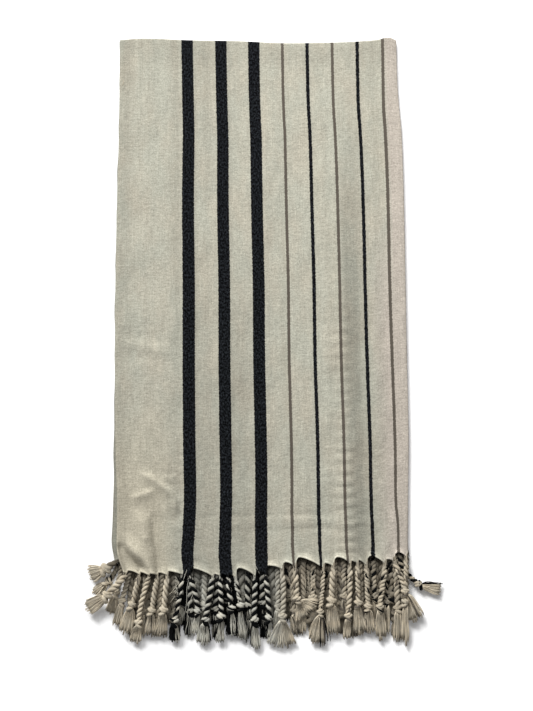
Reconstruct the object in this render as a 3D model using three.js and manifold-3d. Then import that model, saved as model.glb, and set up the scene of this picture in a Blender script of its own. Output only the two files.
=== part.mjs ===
// Fouta towel with knotted fringes, folded in half lengthwise and again crosswise, lying flat.
// Millimetres. +X points to the lengthwise fold, +Y to the crosswise fold, +Z up from the surface below.
// The origin is the middle of the underside.
import * as THREE from "three";
import { mergeVertices } from "three/addons/utils/BufferGeometryUtils.js";
import Module from "manifold-3d";

const wasm = await Module();
wasm.setup();

// Size of the folded towel: a cloth of 1.00 m by 1.85 m gives four layers of this size
const PANEL_WIDTH = 500;
const PANEL_LENGTH = 924;

// Thickness of one layer, the clearance between pieces, and the step from one layer to the next
const WALL = 1.5;
const SEAM = 0.3;
const LAYER_STEP = 2.4;
const STACK_MIDDLE = 1.5 * LAYER_STEP + WALL / 2;
const STACK_TOP = 2 * STACK_MIDDLE;

// Folds: the radius at the middle of the wall, and the half thickness of the two hidden layers
const TURNED_EDGE_RADIUS = LAYER_STEP / 2;
const TOP_FOLD_RADIUS = LAYER_STEP;
const INNER_HALF = 1.5 * LAYER_STEP - WALL / 2 - SEAM;
const GROOVE_HEIGHT = 0.8;
const GROOVE_DEPTH = 12;

// Selvedge side: the panel on top draws in at its lower corner, the layers under it show beside it
const SELVEDGE = [
  { y: 469, top: -246, under: -246 },
  { y: 300, top: -247, under: -247 },
  { y: 158, top: -250, under: -250 },
  { y: -19, top: -252, under: -252 },
  { y: -174, top: -251, under: -252 },
  { y: -259, top: -250, under: -252.5 },
  { y: -343, top: -247, under: -253 },
  { y: -427, top: -241, under: -256 },
  { y: -463, top: -234, under: -250 },
];

// Turned edge of the lengthwise fold
const TURNED_EDGE = [
  { y: 468, x: 246 },
  { y: 378, x: 246 },
  { y: 333, x: 248 },
  { y: 287, x: 251 },
  { y: 170, x: 252 },
  { y: -94, x: 250 },
  { y: -265, x: 249 },
  { y: -349, x: 246 },
  { y: -440, x: 243 },
];

// Line of the crosswise fold, and the line where the fringes leave the cloth
const TOP_FOLD = [
  { x: -250, y: 469 },
  { x: -203, y: 471 },
  { x: -130, y: 467 },
  { x: -32, y: 464 },
  { x: 48, y: 459.5 },
  { x: 128, y: 459.5 },
  { x: 172, y: 460.5 },
  { x: 217, y: 463.5 },
  { x: 238, y: 468 },
  { x: 250, y: 462 },
];
const FRINGE_LINE = [
  { x: -250, y: -464 },
  { x: -180, y: -467 },
  { x: -124, y: -466 },
  { x: -65, y: -470 },
  { x: -6, y: -466 },
  { x: 44, y: -453 },
  { x: 94, y: -455 },
  { x: 136, y: -450 },
  { x: 187, y: -452 },
  { x: 229, y: -443 },
  { x: 250, y: -438 },
];

// Largest folds of the top panel: soft ridges, each half length and half width, turned from +X in degrees
const RIDGES = [
  { x: 0, y: 441, long: 240, wide: 16, turn: 0, rise: 1.8 },
  { x: -178, y: -338, long: 46, wide: 12, turn: 25, rise: 4.2 },
  { x: -206, y: -368, long: 30, wide: 9, turn: 20, rise: 2.4 },
  { x: -224, y: -430, long: 24, wide: 9, turn: -55, rise: 3.4 },
  { x: -196, y: -84, long: 52, wide: 9, turn: -12, rise: 1.6 },
  { x: -95, y: -260, long: 190, wide: 20, turn: 91, rise: 2.4 },
  { x: -6, y: -300, long: 150, wide: 17, turn: 89, rise: 2.6 },
  { x: 74, y: -340, long: 110, wide: 15, turn: 90, rise: 2.2 },
  { x: 162, y: -310, long: 130, wide: 17, turn: 92, rise: 2.0 },
  { x: 95, y: -384, long: 150, wide: 7, turn: 1, rise: 1.2 },
];
const RIDGE_FADE = 34;

// Sections of one tassel: its root in the strip, the gathered yarns, the twisted rope, the knot, the brush.
// A rope's section stands on its corner every other time. A flat one has its full width at its corners.
const SECTIONS = {
  root: { width: 5.9, height: 1.1 },
  gather: { width: 6.3, height: 3.5 },
  rope: { width: 8.4, height: 7 },
  knot: { width: 13, height: 9.4 },
  plainKnot: { width: 10.9, height: 9.4 },
  neck: { width: 7.1, height: 5.6, flat: true },
  brush: { height: 4.6, flat: true },
  tip: { height: 3.5, flat: true },
};
const BRUSH_SPREAD_MIDWAY = 0.8;
const ROPE_STEPS = { detailed: 6, plain: 2 };
const KNOT_LENGTH = 12;

// Fringe: the strip that holds the roots, and the levels on which the fringes lie on each other
const STRIP_DEPTH = 3;
const GATHER_LENGTH = 4.7;
const ROOT_RISE = 14;
const FLOOR_CLEARANCE = 0.4;
const LEVEL_STEP = 5.2;
const LEVEL_STEP_AT_TIPS = 3;
const LEVEL_GAP = 0.35;
const THINNING = { from: -530, to: -592 };

// Front row of tassels: where each leaves the cloth, its knot, its tip, how far the rope bows, brush width
const FRONT_TASSELS = [
  { root: -229, knotX: -262, knotY: -502, tipX: -292, tipY: -521, bow: 0, brush: 30 },
  { root: -206, knotX: -220, knotY: -517, tipX: -233, tipY: -564, bow: 0, brush: 20 },
  { root: -188, knotX: -209, knotY: -546, tipX: -216, tipY: -579, bow: -3, brush: 16 },
  { root: -174, knotX: -187, knotY: -527, tipX: -191, tipY: -568, bow: 0, brush: 13 },
  { root: -157, knotX: -167, knotY: -526, tipX: -174, tipY: -568, bow: 0, brush: 14 },
  { root: -130, knotX: -150, knotY: -544, tipX: -150, tipY: -579, bow: 2, brush: 18 },
  { root: -118, knotX: -110, knotY: -529, tipX: -117, tipY: -567, bow: 3, brush: 12 },
  { root: -80, knotX: -98, knotY: -543, tipX: -102, tipY: -583, bow: 0, brush: 14 },
  { root: -68, knotX: -71, knotY: -538, tipX: -75, tipY: -582, bow: 0, brush: 15 },
  { root: -56, knotX: -54, knotY: -525, tipX: -52, tipY: -571, bow: 0, brush: 13 },
  { root: -44, knotX: -38, knotY: -520, tipX: -34, tipY: -579, bow: 0, brush: 13 },
  { root: -12, knotX: -17, knotY: -545, tipX: -15, tipY: -592, bow: 0, brush: 19 },
  { root: 5, knotX: 8, knotY: -541, tipX: 5, tipY: -574, bow: 1, brush: 12 },
  { root: 31, knotX: 30, knotY: -539, tipX: 29, tipY: -584, bow: 2, brush: 30 },
  { root: 52, knotX: 52, knotY: -513, tipX: 58, tipY: -557, bow: 0, brush: 18 },
  { root: 97, knotX: 93, knotY: -532, tipX: 85, tipY: -579, bow: 1, brush: 22 },
  { root: 113, knotX: 112, knotY: -514, tipX: 116, tipY: -571, bow: 0, brush: 16 },
  { root: 140, knotX: 139, knotY: -539, tipX: 136, tipY: -578, bow: 1, brush: 14 },
  { root: 152, knotX: 157, knotY: -518, tipX: 160, tipY: -568, bow: 0, brush: 13 },
  { root: 166, knotX: 173, knotY: -524, tipX: 176, tipY: -567, bow: 0, brush: 13 },
  { root: 197, knotX: 192, knotY: -525, tipX: 195, tipY: -578, bow: 0, brush: 20 },
  { root: 212, knotX: 233, knotY: -505, tipX: 243, tipY: -558, bow: 2, brush: 20 },
  { root: 237, knotX: 252, knotY: -509, tipX: 266, tipY: -541, bow: -3, brush: 15 },
];

// Tassels of the hidden layer right under the front panel, its outer ones splayed to the sides
const FRONT_INNER_TASSELS = [
  { root: -249.4, knotX: -267, knotY: -462, tipX: -292, tipY: -462, bow: 0, brush: 28 },
  { root: -222, knotX: -238, knotY: -512, tipX: -247, tipY: -552, bow: 0, brush: 16 },
  { root: -196, knotX: -203, knotY: -528, tipX: -207, tipY: -570, bow: 0, brush: 16 },
  { root: -169, knotX: -177, knotY: -536, tipX: -182, tipY: -572, bow: 0, brush: 16 },
  { root: -146, knotX: -142, knotY: -500, tipX: -138, tipY: -545, bow: 0, brush: 16 },
  { root: -122, knotX: -124, knotY: -530, tipX: -128, tipY: -572, bow: 0, brush: 14 },
  { root: -98, knotX: -100, knotY: -520, tipX: -96, tipY: -560, bow: 0, brush: 14 },
  { root: -74, knotX: -83, knotY: -528, tipX: -78, tipY: -566, bow: 0, brush: 14 },
  { root: -52, knotX: -48, knotY: -536, tipX: -46, tipY: -574, bow: 0, brush: 14 },
  { root: -26, knotX: -28, knotY: -522, tipX: -29, tipY: -566, bow: 0, brush: 16 },
  { root: -1, knotX: -4, knotY: -518, tipX: -5, tipY: -560, bow: 0, brush: 14 },
  { root: 23, knotX: 23, knotY: -524, tipX: 19, tipY: -566, bow: 0, brush: 15 },
  { root: 45, knotX: 44, knotY: -536, tipX: 43, tipY: -574, bow: 0, brush: 15 },
  { root: 67, knotX: 65, knotY: -530, tipX: 64, tipY: -566, bow: 0, brush: 14 },
  { root: 84, knotX: 81, knotY: -510, tipX: 83, tipY: -552, bow: 0, brush: 14 },
  { root: 120, knotX: 118, knotY: -522, tipX: 120, tipY: -562, bow: 0, brush: 13 },
  { root: 134, knotX: 134, knotY: -508, tipX: 136, tipY: -548, bow: 0, brush: 13 },
  { root: 161, knotX: 162, knotY: -530, tipX: 160, tipY: -572, bow: 0, brush: 14 },
  { root: 184, knotX: 184, knotY: -510, tipX: 182, tipY: -552, bow: 0, brush: 14 },
  { root: 204, knotX: 205, knotY: -518, tipX: 202, tipY: -572, bow: 0, brush: 14 },
  { root: 220, knotX: 223, knotY: -528, tipX: 222, tipY: -582, bow: 0, brush: 18 },
  { root: 241, knotX: 269, knotY: -490, tipX: 298, tipY: -506, bow: -4, brush: 20 },
];

// The two lower rows lie on the surface in lanes beside each other, with one tassel of each splayed left
const LANE = 25;
const LANE_WAVE = 3.5;
const LANE_WAVE_LENGTH = 46;
const BACK_ROWS = {
  inner: { first: -212, count: 19, knotY: -508, tipY: -552, stagger: 4, brush: 10 },
  outer: { first: -224.5, count: 19, knotY: -534, tipY: -572, stagger: 5, brush: 10.5 },
};
const BACK_INNER_SPLAYED = [
  { root: -238, knotX: -249, knotY: -500, tipX: -260, tipY: -536, bow: 0, brush: 18 },
];
const BACK_SPLAYED = [
  { root: -246, knotX: -264, knotY: -482, tipX: -286, tipY: -496, bow: 2, brush: 16 },
];

// A smooth curve through the rows of a table
function curveThrough(rows, key, value) {
  const points = [...rows].sort((a, b) => a[key] - b[key]);
  const slope = (i) => {
    const before = points[Math.max(i - 1, 0)];
    const after = points[Math.min(i + 1, points.length - 1)];
    return (after[value] - before[value]) / (after[key] - before[key]);
  };
  return (at) => {
    const clamped = THREE.MathUtils.clamp(at, points[0][key], points.at(-1)[key]);
    const i = Math.max(0, points.findIndex((p) => p[key] >= clamped) - 1);
    const span = points[i + 1][key] - points[i][key];
    const u = (clamped - points[i][key]) / span;
    const keep = 2 * u ** 3 - 3 * u ** 2 + 1;
    const start = u ** 3 - 2 * u ** 2 + u;
    const end = u ** 3 - u ** 2;
    return (
      keep * points[i][value] +
      start * span * slope(i) +
      (1 - keep) * points[i + 1][value] +
      end * span * slope(i + 1)
    );
  };
}

const selvedgeOnTop = curveThrough(SELVEDGE, "y", "top");
const selvedgeUnder = curveThrough(SELVEDGE, "y", "under");
const turnedEdge = curveThrough(TURNED_EDGE, "y", "x");
const topFold = curveThrough(TOP_FOLD, "x", "y");
const fringeLine = curveThrough(FRINGE_LINE, "x", "y");

// The height of a line of points above its x, straight between them
function straightThrough(points, x) {
  const after = points.findIndex((point) => point.x >= x);
  const i = after < 0 ? points.length - 2 : Math.max(0, after - 1);
  const u = (x - points[i].x) / (points[i + 1].x - points[i].x);
  return THREE.MathUtils.lerp(points[i].y, points[i + 1].y, u);
}

// A place on a panel, from millimetres across from the selvedge and along from the fringe
function onPanel(across, along, under) {
  const left = under ? selvedgeUnder : selvedgeOnTop;
  const plainX = across - PANEL_WIDTH / 2;
  const plainY = along - PANEL_LENGTH / 2;
  const low = fringeLine(plainX);
  const high = topFold(plainX);
  const y = low + (high - low) * (along / PANEL_LENGTH);
  const x = left(plainY) + (turnedEdge(plainY) - left(plainY)) * (across / PANEL_WIDTH);
  return { x, y };
}

// How far the soft folds lift the top panel, none at the turned edge and at the top fold
function lift(x, y) {
  let sum = 0;
  for (const ridge of RIDGES) {
    const turn = THREE.MathUtils.degToRad(ridge.turn);
    const along = (x - ridge.x) * Math.cos(turn) + (y - ridge.y) * Math.sin(turn);
    const across = (y - ridge.y) * Math.cos(turn) - (x - ridge.x) * Math.sin(turn);
    sum += ridge.rise * Math.exp(-((along / ridge.long) ** 2) - (across / ridge.wide) ** 2);
  }
  const fromTurnedEdge = THREE.MathUtils.smoothstep(turnedEdge(y) - x, 0, RIDGE_FADE);
  const fromTopFold = THREE.MathUtils.smoothstep(topFold(x) - y, 0, RIDGE_FADE / 2);
  return sum * fromTurnedEdge * fromTopFold;
}

// The wall across the cloth: flat, then a half turn at the lengthwise fold
const WRAP_START = PANEL_WIDTH - TURNED_EDGE_RADIUS - WALL / 2;
function aroundTurnedEdge(t, height) {
  if (t <= WRAP_START) return { across: t, level: LAYER_STEP / 2 + height };
  const angle = (t - WRAP_START) / TURNED_EDGE_RADIUS;
  const radius = TURNED_EDGE_RADIUS + height;
  return { across: WRAP_START + radius * Math.sin(angle), level: radius * Math.cos(angle) };
}

// The wall along the cloth: the top panel, a half turn at the crosswise fold, the panel underneath
const TURN_START = PANEL_LENGTH - TOP_FOLD_RADIUS - LAYER_STEP / 2 - WALL / 2;
const TURN_LENGTH = Math.PI * TOP_FOLD_RADIUS;
function aroundTopFold(s, level) {
  const radius = TOP_FOLD_RADIUS + level;
  if (s <= TURN_START) return { along: s, z: STACK_MIDDLE + radius, share: 1 };
  if (s >= TURN_START + TURN_LENGTH) {
    return { along: 2 * TURN_START + TURN_LENGTH - s, z: STACK_MIDDLE - radius, share: 0 };
  }
  const angle = (s - TURN_START) / TOP_FOLD_RADIUS;
  return {
    along: TURN_START + radius * Math.sin(angle),
    z: STACK_MIDDLE + radius * Math.cos(angle),
    share: Math.max(0, Math.cos(angle)),
  };
}

// A closed wall over a grid of rows and columns; place gives the point on its outer (1) or inner (-1) side
function wallGeometry(rows, columns, place) {
  const positions = [];
  const index = [];
  for (const side of [1, -1]) {
    for (const row of rows) {
      for (const column of columns) positions.push(...place(row, column, side).toArray());
    }
  }
  const across = columns.length;
  const inner = rows.length * across;
  const quad = (a, b, c, d) => index.push(a, b, c, a, c, d);
  for (let i = 0; i + 1 < rows.length; i += 1) {
    for (let j = 0; j + 1 < across; j += 1) {
      const a = i * across + j;
      quad(a, a + 1, a + across + 1, a + across);
      quad(inner + a, inner + a + across, inner + a + across + 1, inner + a + 1);
    }
    const first = i * across;
    const last = first + across - 1;
    quad(first, first + across, inner + first + across, inner + first);
    quad(last + across, last, inner + last, inner + last + across);
  }
  for (let j = 0; j + 1 < across; j += 1) {
    const top = (rows.length - 1) * across + j;
    quad(j + 1, j, inner + j, inner + j + 1);
    quad(top, top + 1, inner + top + 1, inner + top);
  }
  const geometry = new THREE.BufferGeometry();
  geometry.setAttribute("position", new THREE.Float32BufferAttribute(positions, 3));
  geometry.setIndex(index);
  return geometry;
}

// Values from one number to another in equal steps, both ends included
function steps(from, to, count) {
  return Array.from({ length: count + 1 }, (_, i) => from + ((to - from) * i) / count);
}

function solidOf(geometry) {
  const bare = geometry.clone();
  bare.deleteAttribute("normal");
  bare.deleteAttribute("uv");
  const merged = mergeVertices(bare, 1e-4);
  return new wasm.Manifold(
    new wasm.Mesh({
      numProp: 3,
      vertProperties: merged.attributes.position.array,
      triVerts: new Uint32Array(merged.index.array),
    }),
  );
}

function geometryOf(solid) {
  const mesh = solid.getMesh();
  const geometry = new THREE.BufferGeometry();
  geometry.setAttribute("position", new THREE.BufferAttribute(mesh.vertProperties, 3));
  geometry.setIndex(new THREE.BufferAttribute(mesh.triVerts, 1));
  const faceted = geometry.toNonIndexed();
  faceted.computeVertexNormals();
  return faceted;
}

// Grid lines of the panels, shared by both halves of the cloth so that their seam stays even
const CLOSE_ROWS_TO = 200;
const OPEN_ROWS_TO = TURN_START - 50;
const PANEL_ROWS = [
  ...steps(0, CLOSE_ROWS_TO, 8),
  ...steps(CLOSE_ROWS_TO, OPEN_ROWS_TO, 9).slice(1),
  ...steps(OPEN_ROWS_TO, TURN_START, 2).slice(1),
];
const PANEL_COLUMNS = steps(0, WRAP_START, 20);

// The half of the cloth that shows: top panel, top fold, underside, and the turned edge along all of them
function outerCloth() {
  const backStart = TURN_START + TURN_LENGTH;
  const rows = [
    ...PANEL_ROWS,
    ...steps(TURN_START, backStart, 5).slice(1),
    ...PANEL_ROWS.map((row) => backStart + TURN_START - row).reverse().slice(1),
  ];
  const columns = [
    ...PANEL_COLUMNS,
    ...steps(WRAP_START, WRAP_START + Math.PI * TURNED_EDGE_RADIUS, 4).slice(1),
  ];
  const place = (s, t, side) => {
    const { across, level } = aroundTurnedEdge(t, (side * WALL) / 2);
    const { along, z, share } = aroundTopFold(s, level);
    const { x, y } = onPanel(across, along, share === 0);
    return new THREE.Vector3(x, y, z + share * lift(x, y));
  };
  return wallGeometry(rows, columns, place);
}

// The two hidden layers as one solid, rounded inside the top fold and grooved between the layers at the edges
function innerLayers() {
  const right = WRAP_START - SEAM;
  const rounded = steps(0, Math.PI / 2.2, 3).map((angle) => ({
    along: TURN_START + INNER_HALF * Math.sin(angle),
    half: INNER_HALF * Math.cos(angle),
  }));
  const straight = PANEL_ROWS.slice(0, -1).map((along) => ({ along, half: INNER_HALF }));
  const columns = [...PANEL_COLUMNS.slice(0, -1), right];
  const lifted = PANEL_COLUMNS[2];
  const body = wallGeometry([...straight, ...rounded], columns, (row, across, side) => {
    const { x, y } = onPanel(across, row.along, across === 0);
    const raised = side > 0 && across >= lifted && row.half === INNER_HALF ? lift(x, y) : 0;
    return new THREE.Vector3(x, y, STACK_MIDDLE + side * row.half + raised);
  });
  const groove = (alongs, acrosses) =>
    wallGeometry(alongs, acrosses, (along, across, side) => {
      const { x, y } = onPanel(across, along, true);
      return new THREE.Vector3(x, y, STACK_MIDDLE + (side * GROOVE_HEIGHT) / 2);
    });
  const outside = -GROOVE_DEPTH;
  const bySelvedge = groove(steps(outside, TURN_START, 8), [outside, GROOVE_DEPTH]);
  const byFringe = groove([outside, GROOVE_DEPTH], steps(outside, right + GROOVE_DEPTH, 12));
  return geometryOf(solidOf(body).subtract(solidOf(bySelvedge)).subtract(solidOf(byFringe)));
}

// How far apart the fringes lie above each other at a place along the tassels
function levelStep(y) {
  const u = THREE.MathUtils.smoothstep(-y, -THINNING.from, -THINNING.to);
  return THREE.MathUtils.lerp(LEVEL_STEP, LEVEL_STEP_AT_TIPS, u);
}

// The stations of one tassel from its root to its tip: place and direction in plan, and section
function tasselStations(tassel, rootY, detailed) {
  const root = new THREE.Vector2(tassel.root, rootY);
  const knot = new THREE.Vector2(tassel.knotX, tassel.knotY);
  const tip = new THREE.Vector2(tassel.tipX, tassel.tipY);
  const bowed = root.clone().add(knot).multiplyScalar(0.5);
  bowed.x += 2 * tassel.bow;
  const rope = new THREE.QuadraticBezierCurve(root, bowed, knot);
  const ropeLength = rope.getLength();
  const brush = new THREE.LineCurve(knot, tip);
  const neck = KNOT_LENGTH / 2 / brush.getLength();
  const stations = [];
  const add = (curve, share, section, onCorner) => {
    stations.push({ at: curve.getPointAt(share), along: curve.getTangentAt(share), onCorner, ...section });
  };
  const sideways = Math.abs(rope.getTangentAt(0).x);
  const rootWidth = Math.min(SECTIONS.root.width, (0.8 * STRIP_DEPTH) / sideways);
  add(rope, 0, { ...SECTIONS.root, width: rootWidth }, true);
  add(rope, GATHER_LENGTH / ropeLength, SECTIONS.gather, true);
  const start = ROOT_RISE / ropeLength;
  const end = 1 - KNOT_LENGTH / 2 / ropeLength;
  const ropeSteps = detailed ? ROPE_STEPS.detailed : ROPE_STEPS.plain;
  steps(start, end, ropeSteps).forEach((share, i) => add(rope, share, SECTIONS.rope, i % 2 === 0));
  add(rope, 1, detailed ? SECTIONS.knot : SECTIONS.plainKnot, true);
  add(brush, neck, SECTIONS.neck, false);
  add(brush, (1 + neck) / 2, { ...SECTIONS.brush, width: BRUSH_SPREAD_MIDWAY * tassel.brush }, false);
  add(brush, 1, { ...SECTIONS.tip, width: tassel.brush }, false);
  return stations;
}

// One tassel as a four-sided twisted rope with its knot and brush, resting on the level below it
function tasselGeometry(tassel, row, detailed) {
  const edgeY = straightThrough(row.edge, tassel.root);
  const rootY = edgeY - SEAM - STRIP_DEPTH / 2;
  const strip = row.stripZ(tassel.root, edgeY) + WALL / 2;
  const positions = [];
  const index = [];
  let travelled = 0;
  let before = null;
  for (const station of tasselStations(tassel, rootY, detailed)) {
    const { at, along, onCorner, flat } = station;
    travelled += before ? at.distanceTo(before) : 0;
    before = at;
    const step = levelStep(at.y);
    const roof = row.open ? Infinity : step - LEVEL_GAP;
    const full = Math.min(station.height, roof);
    const risen = THREE.MathUtils.clamp(travelled / ROOT_RISE, 0, 1);
    const height = THREE.MathUtils.lerp(SECTIONS.root.height, full, risen);
    const rested = FLOOR_CLEARANCE + row.level * step + full / 2;
    const middle = THREE.MathUtils.lerp(strip, rested, risen);
    const reach = flat ? Math.SQRT2 : 1;
    for (let corner = 0; corner < 4; corner += 1) {
      const angle = (corner * Math.PI) / 2 + (onCorner ? 0 : Math.PI / 4);
      const aside = (station.width / 2) * reach * Math.cos(angle);
      const upwards = (height / 2) * reach * Math.sin(angle);
      positions.push(at.x - along.y * aside, at.y + along.x * aside, middle + upwards);
    }
  }
  const rings = positions.length / (4 * 3);
  for (let ring = 0; ring + 1 < rings; ring += 1) {
    for (let corner = 0; corner < 4; corner += 1) {
      const a = 4 * ring + corner;
      const b = 4 * ring + ((corner + 1) % 4);
      index.push(a, b, b + 4, a, b + 4, a + 4);
    }
  }
  const last = 4 * (rings - 1);
  index.push(0, 2, 1, 0, 3, 2, last, last + 1, last + 2, last, last + 2, last + 3);
  const geometry = new THREE.BufferGeometry();
  geometry.setAttribute("position", new THREE.Float32BufferAttribute(positions, 3));
  geometry.setIndex(index);
  return geometry;
}

// A row of tassels on the narrow strip of cloth that holds their roots
function fringe(tassels, row, detailed) {
  const strip = wallGeometry([-SEAM - STRIP_DEPTH, -SEAM], row.edge, (out, { x, y }, side) => {
    return new THREE.Vector3(x, y + out, row.stripZ(x, y) + (side > 0 ? WALL : 0));
  });
  const pieces = tassels.map((tassel) => solidOf(tasselGeometry(tassel, row, detailed)));
  return geometryOf(pieces.reduce((whole, piece) => whole.add(piece), solidOf(strip)));
}

// The tassels of a lower row, evenly spaced in their lanes
function lanes({ first, count, knotY, tipY, stagger, brush }) {
  return Array.from({ length: count }, (_, i) => {
    const root = first + LANE * i;
    const sway = LANE_WAVE * Math.sin(root / LANE_WAVE_LENGTH);
    const shift = stagger * ((i * 2) % 3) - stagger;
    const knot = { knotX: root + sway, knotY: knotY + shift };
    const tip = { tipX: root + 2 * sway, tipY: tipY + shift };
    return { root, ...knot, ...tip, bow: 0, brush };
  });
}

// The lower edges of the layers, at the grid lines of the cloth
const topEdge = PANEL_COLUMNS.map((across) => onPanel(across, 0, false));
const innerEdge = PANEL_COLUMNS.map((across) => onPanel(across, 0, across === 0));
const underEdge = PANEL_COLUMNS.map((across) => onPanel(across, 0, true));

const ROWS = {
  front: { level: 2, open: true, edge: topEdge, stripZ: (x, y) => STACK_TOP - WALL + lift(x, y) },
  frontInner: { level: 1, open: false, edge: innerEdge, stripZ: () => 2 * LAYER_STEP },
  backInner: { level: 0, open: false, edge: innerEdge, stripZ: () => LAYER_STEP },
  back: { level: 0, open: false, edge: underEdge, stripZ: () => 0 },
};

const CREAM = 0xc6c2ad;
const CREAM_SHADED = 0xb2ae9a;
const ECRU_YARN = 0xc2b8a0;
const ECRU_YARN_SHADED = 0xa89f8b;

const towel = new THREE.Group();
function addPiece(name, geometry, color) {
  const material = new THREE.MeshStandardMaterial({ color, roughness: 0.92, metalness: 0 });
  const mesh = new THREE.Mesh(geometry, material);
  mesh.name = name;
  towel.add(mesh);
}

addPiece("outer_cloth", outerCloth(), CREAM);
addPiece("inner_layers", innerLayers(), CREAM_SHADED);
addPiece("fringe_front", fringe(FRONT_TASSELS, ROWS.front, true), ECRU_YARN);
addPiece("fringe_front_inner", fringe(FRONT_INNER_TASSELS, ROWS.frontInner, true), ECRU_YARN_SHADED);
addPiece(
  "fringe_back_inner",
  fringe([...BACK_INNER_SPLAYED, ...lanes(BACK_ROWS.inner)], ROWS.backInner, false),
  ECRU_YARN_SHADED,
);
addPiece("fringe_back", fringe([...BACK_SPLAYED, ...lanes(BACK_ROWS.outer)], ROWS.back, false), ECRU_YARN);

export default towel;
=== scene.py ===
"""A fouta towel folded in four: striped cotton cloth with twisted and knotted fringes."""

import math

import bpy
import numpy as np
from mathutils import Matrix, Vector


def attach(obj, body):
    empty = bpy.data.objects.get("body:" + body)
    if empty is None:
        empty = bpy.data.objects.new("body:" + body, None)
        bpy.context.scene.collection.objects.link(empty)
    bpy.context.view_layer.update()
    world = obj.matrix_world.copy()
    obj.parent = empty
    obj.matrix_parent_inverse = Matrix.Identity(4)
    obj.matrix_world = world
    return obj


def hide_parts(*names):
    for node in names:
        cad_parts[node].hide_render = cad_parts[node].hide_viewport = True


bl_info = {
    "name": "Fouta towel",
    "version": (1, 0, 0),
    "blender": (4, 5, 0),
    "location": "3D View > Sidebar > Towel",
    "description": "Makes a folded fouta towel with knotted fringes, and its studio",
    "category": "Object",
}

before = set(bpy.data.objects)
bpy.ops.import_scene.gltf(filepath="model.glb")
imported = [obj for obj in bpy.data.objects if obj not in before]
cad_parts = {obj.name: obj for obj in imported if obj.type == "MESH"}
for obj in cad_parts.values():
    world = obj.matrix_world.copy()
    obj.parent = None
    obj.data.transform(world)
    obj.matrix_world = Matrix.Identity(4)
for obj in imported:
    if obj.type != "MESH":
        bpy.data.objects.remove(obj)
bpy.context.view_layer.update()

# The folded cloth in metres, as in the solids: x from the selvedges, y from the fringes, z up
PANEL_WIDTH = 0.500
PANEL_LENGTH = 0.924
TURNED_EDGE_RADIUS = 0.0012
TOP_FOLD_RADIUS = 0.0024
STACK_MIDDLE = 0.00435
SOLID_HALF_WALL = 0.00075
WRAP_START = PANEL_WIDTH - TURNED_EDGE_RADIUS - SOLID_HALF_WALL
WRAP_LENGTH = math.pi * TURNED_EDGE_RADIUS
TURN_START = PANEL_LENGTH - TOP_FOLD_RADIUS - TURNED_EDGE_RADIUS - SOLID_HALF_WALL
TURN_LENGTH = math.pi * TOP_FOLD_RADIUS
WRAP_END = WRAP_START + WRAP_LENGTH
CUT_WIDTH = 2 * WRAP_START + WRAP_LENGTH
TURN_END = TURN_START + TURN_LENGTH
CUT_LENGTH = 2 * TURN_START + TURN_LENGTH
TOP_LAYER_HEIGHT = STACK_MIDDLE + TOP_FOLD_RADIUS + TURNED_EDGE_RADIUS

# Outline of the folded cloth: y, x of the top panel's selvedge, x of the selvedges under it
SELVEDGE = (
    (0.4690, -0.2460, -0.2460),
    (0.3000, -0.2470, -0.2470),
    (0.1580, -0.2500, -0.2500),
    (-0.0190, -0.2520, -0.2520),
    (-0.1740, -0.2510, -0.2520),
    (-0.2590, -0.2500, -0.2525),
    (-0.3430, -0.2468, -0.2530),
    (-0.4000, -0.2468, -0.2550),
    (-0.4300, -0.2450, -0.2545),
    (-0.4630, -0.2340, -0.2500),
)

# y, x of the turned edge at the right
TURNED_EDGE = (
    (0.4680, 0.2460),
    (0.3780, 0.2460),
    (0.3330, 0.2480),
    (0.2870, 0.2510),
    (0.1700, 0.2520),
    (-0.0940, 0.2500),
    (-0.2650, 0.2490),
    (-0.3490, 0.2460),
    (-0.4400, 0.2430),
)

# x, y of the crosswise fold at the top
TOP_FOLD = (
    (-0.2500, 0.4690),
    (-0.2030, 0.4710),
    (-0.1300, 0.4670),
    (-0.0320, 0.4640),
    (0.0480, 0.4595),
    (0.1280, 0.4595),
    (0.1720, 0.4605),
    (0.2170, 0.4635),
    (0.2380, 0.4680),
    (0.2500, 0.4620),
)

# x, y of the edge that the fringes hang from
FRINGE_LINE = (
    (-0.2500, -0.4640),
    (-0.1800, -0.4670),
    (-0.1240, -0.4660),
    (-0.0650, -0.4700),
    (-0.0060, -0.4660),
    (0.0440, -0.4530),
    (0.0940, -0.4550),
    (0.1360, -0.4500),
    (0.1870, -0.4520),
    (0.2290, -0.4430),
    (0.2500, -0.4380),
)

# Soft folds, where the solids have them but for the three at the lower left: x, y, length, width, turn in
# degrees, rise
RIDGES = (
    (0.0000, 0.4410, 0.2400, 0.0160, 0, 0.0018),
    (-0.1850, -0.3450, 0.0460, 0.0200, -28, 0.0026),
    (-0.2060, -0.3680, 0.0300, 0.0160, 20, 0.0010),
    (-0.2150, -0.4290, 0.0250, 0.0086, -50, 0.0170),
    (-0.1960, -0.0840, 0.0520, 0.0090, -12, 0.0016),
    (-0.0950, -0.2600, 0.1900, 0.0200, 91, 0.0024),
    (-0.0060, -0.3000, 0.1500, 0.0170, 89, 0.0026),
    (0.0740, -0.3400, 0.1100, 0.0150, 90, 0.0022),
    (0.1620, -0.3100, 0.1300, 0.0170, 92, 0.0020),
    (0.0950, -0.3840, 0.1500, 0.0070, 1, 0.0012),
)

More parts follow.
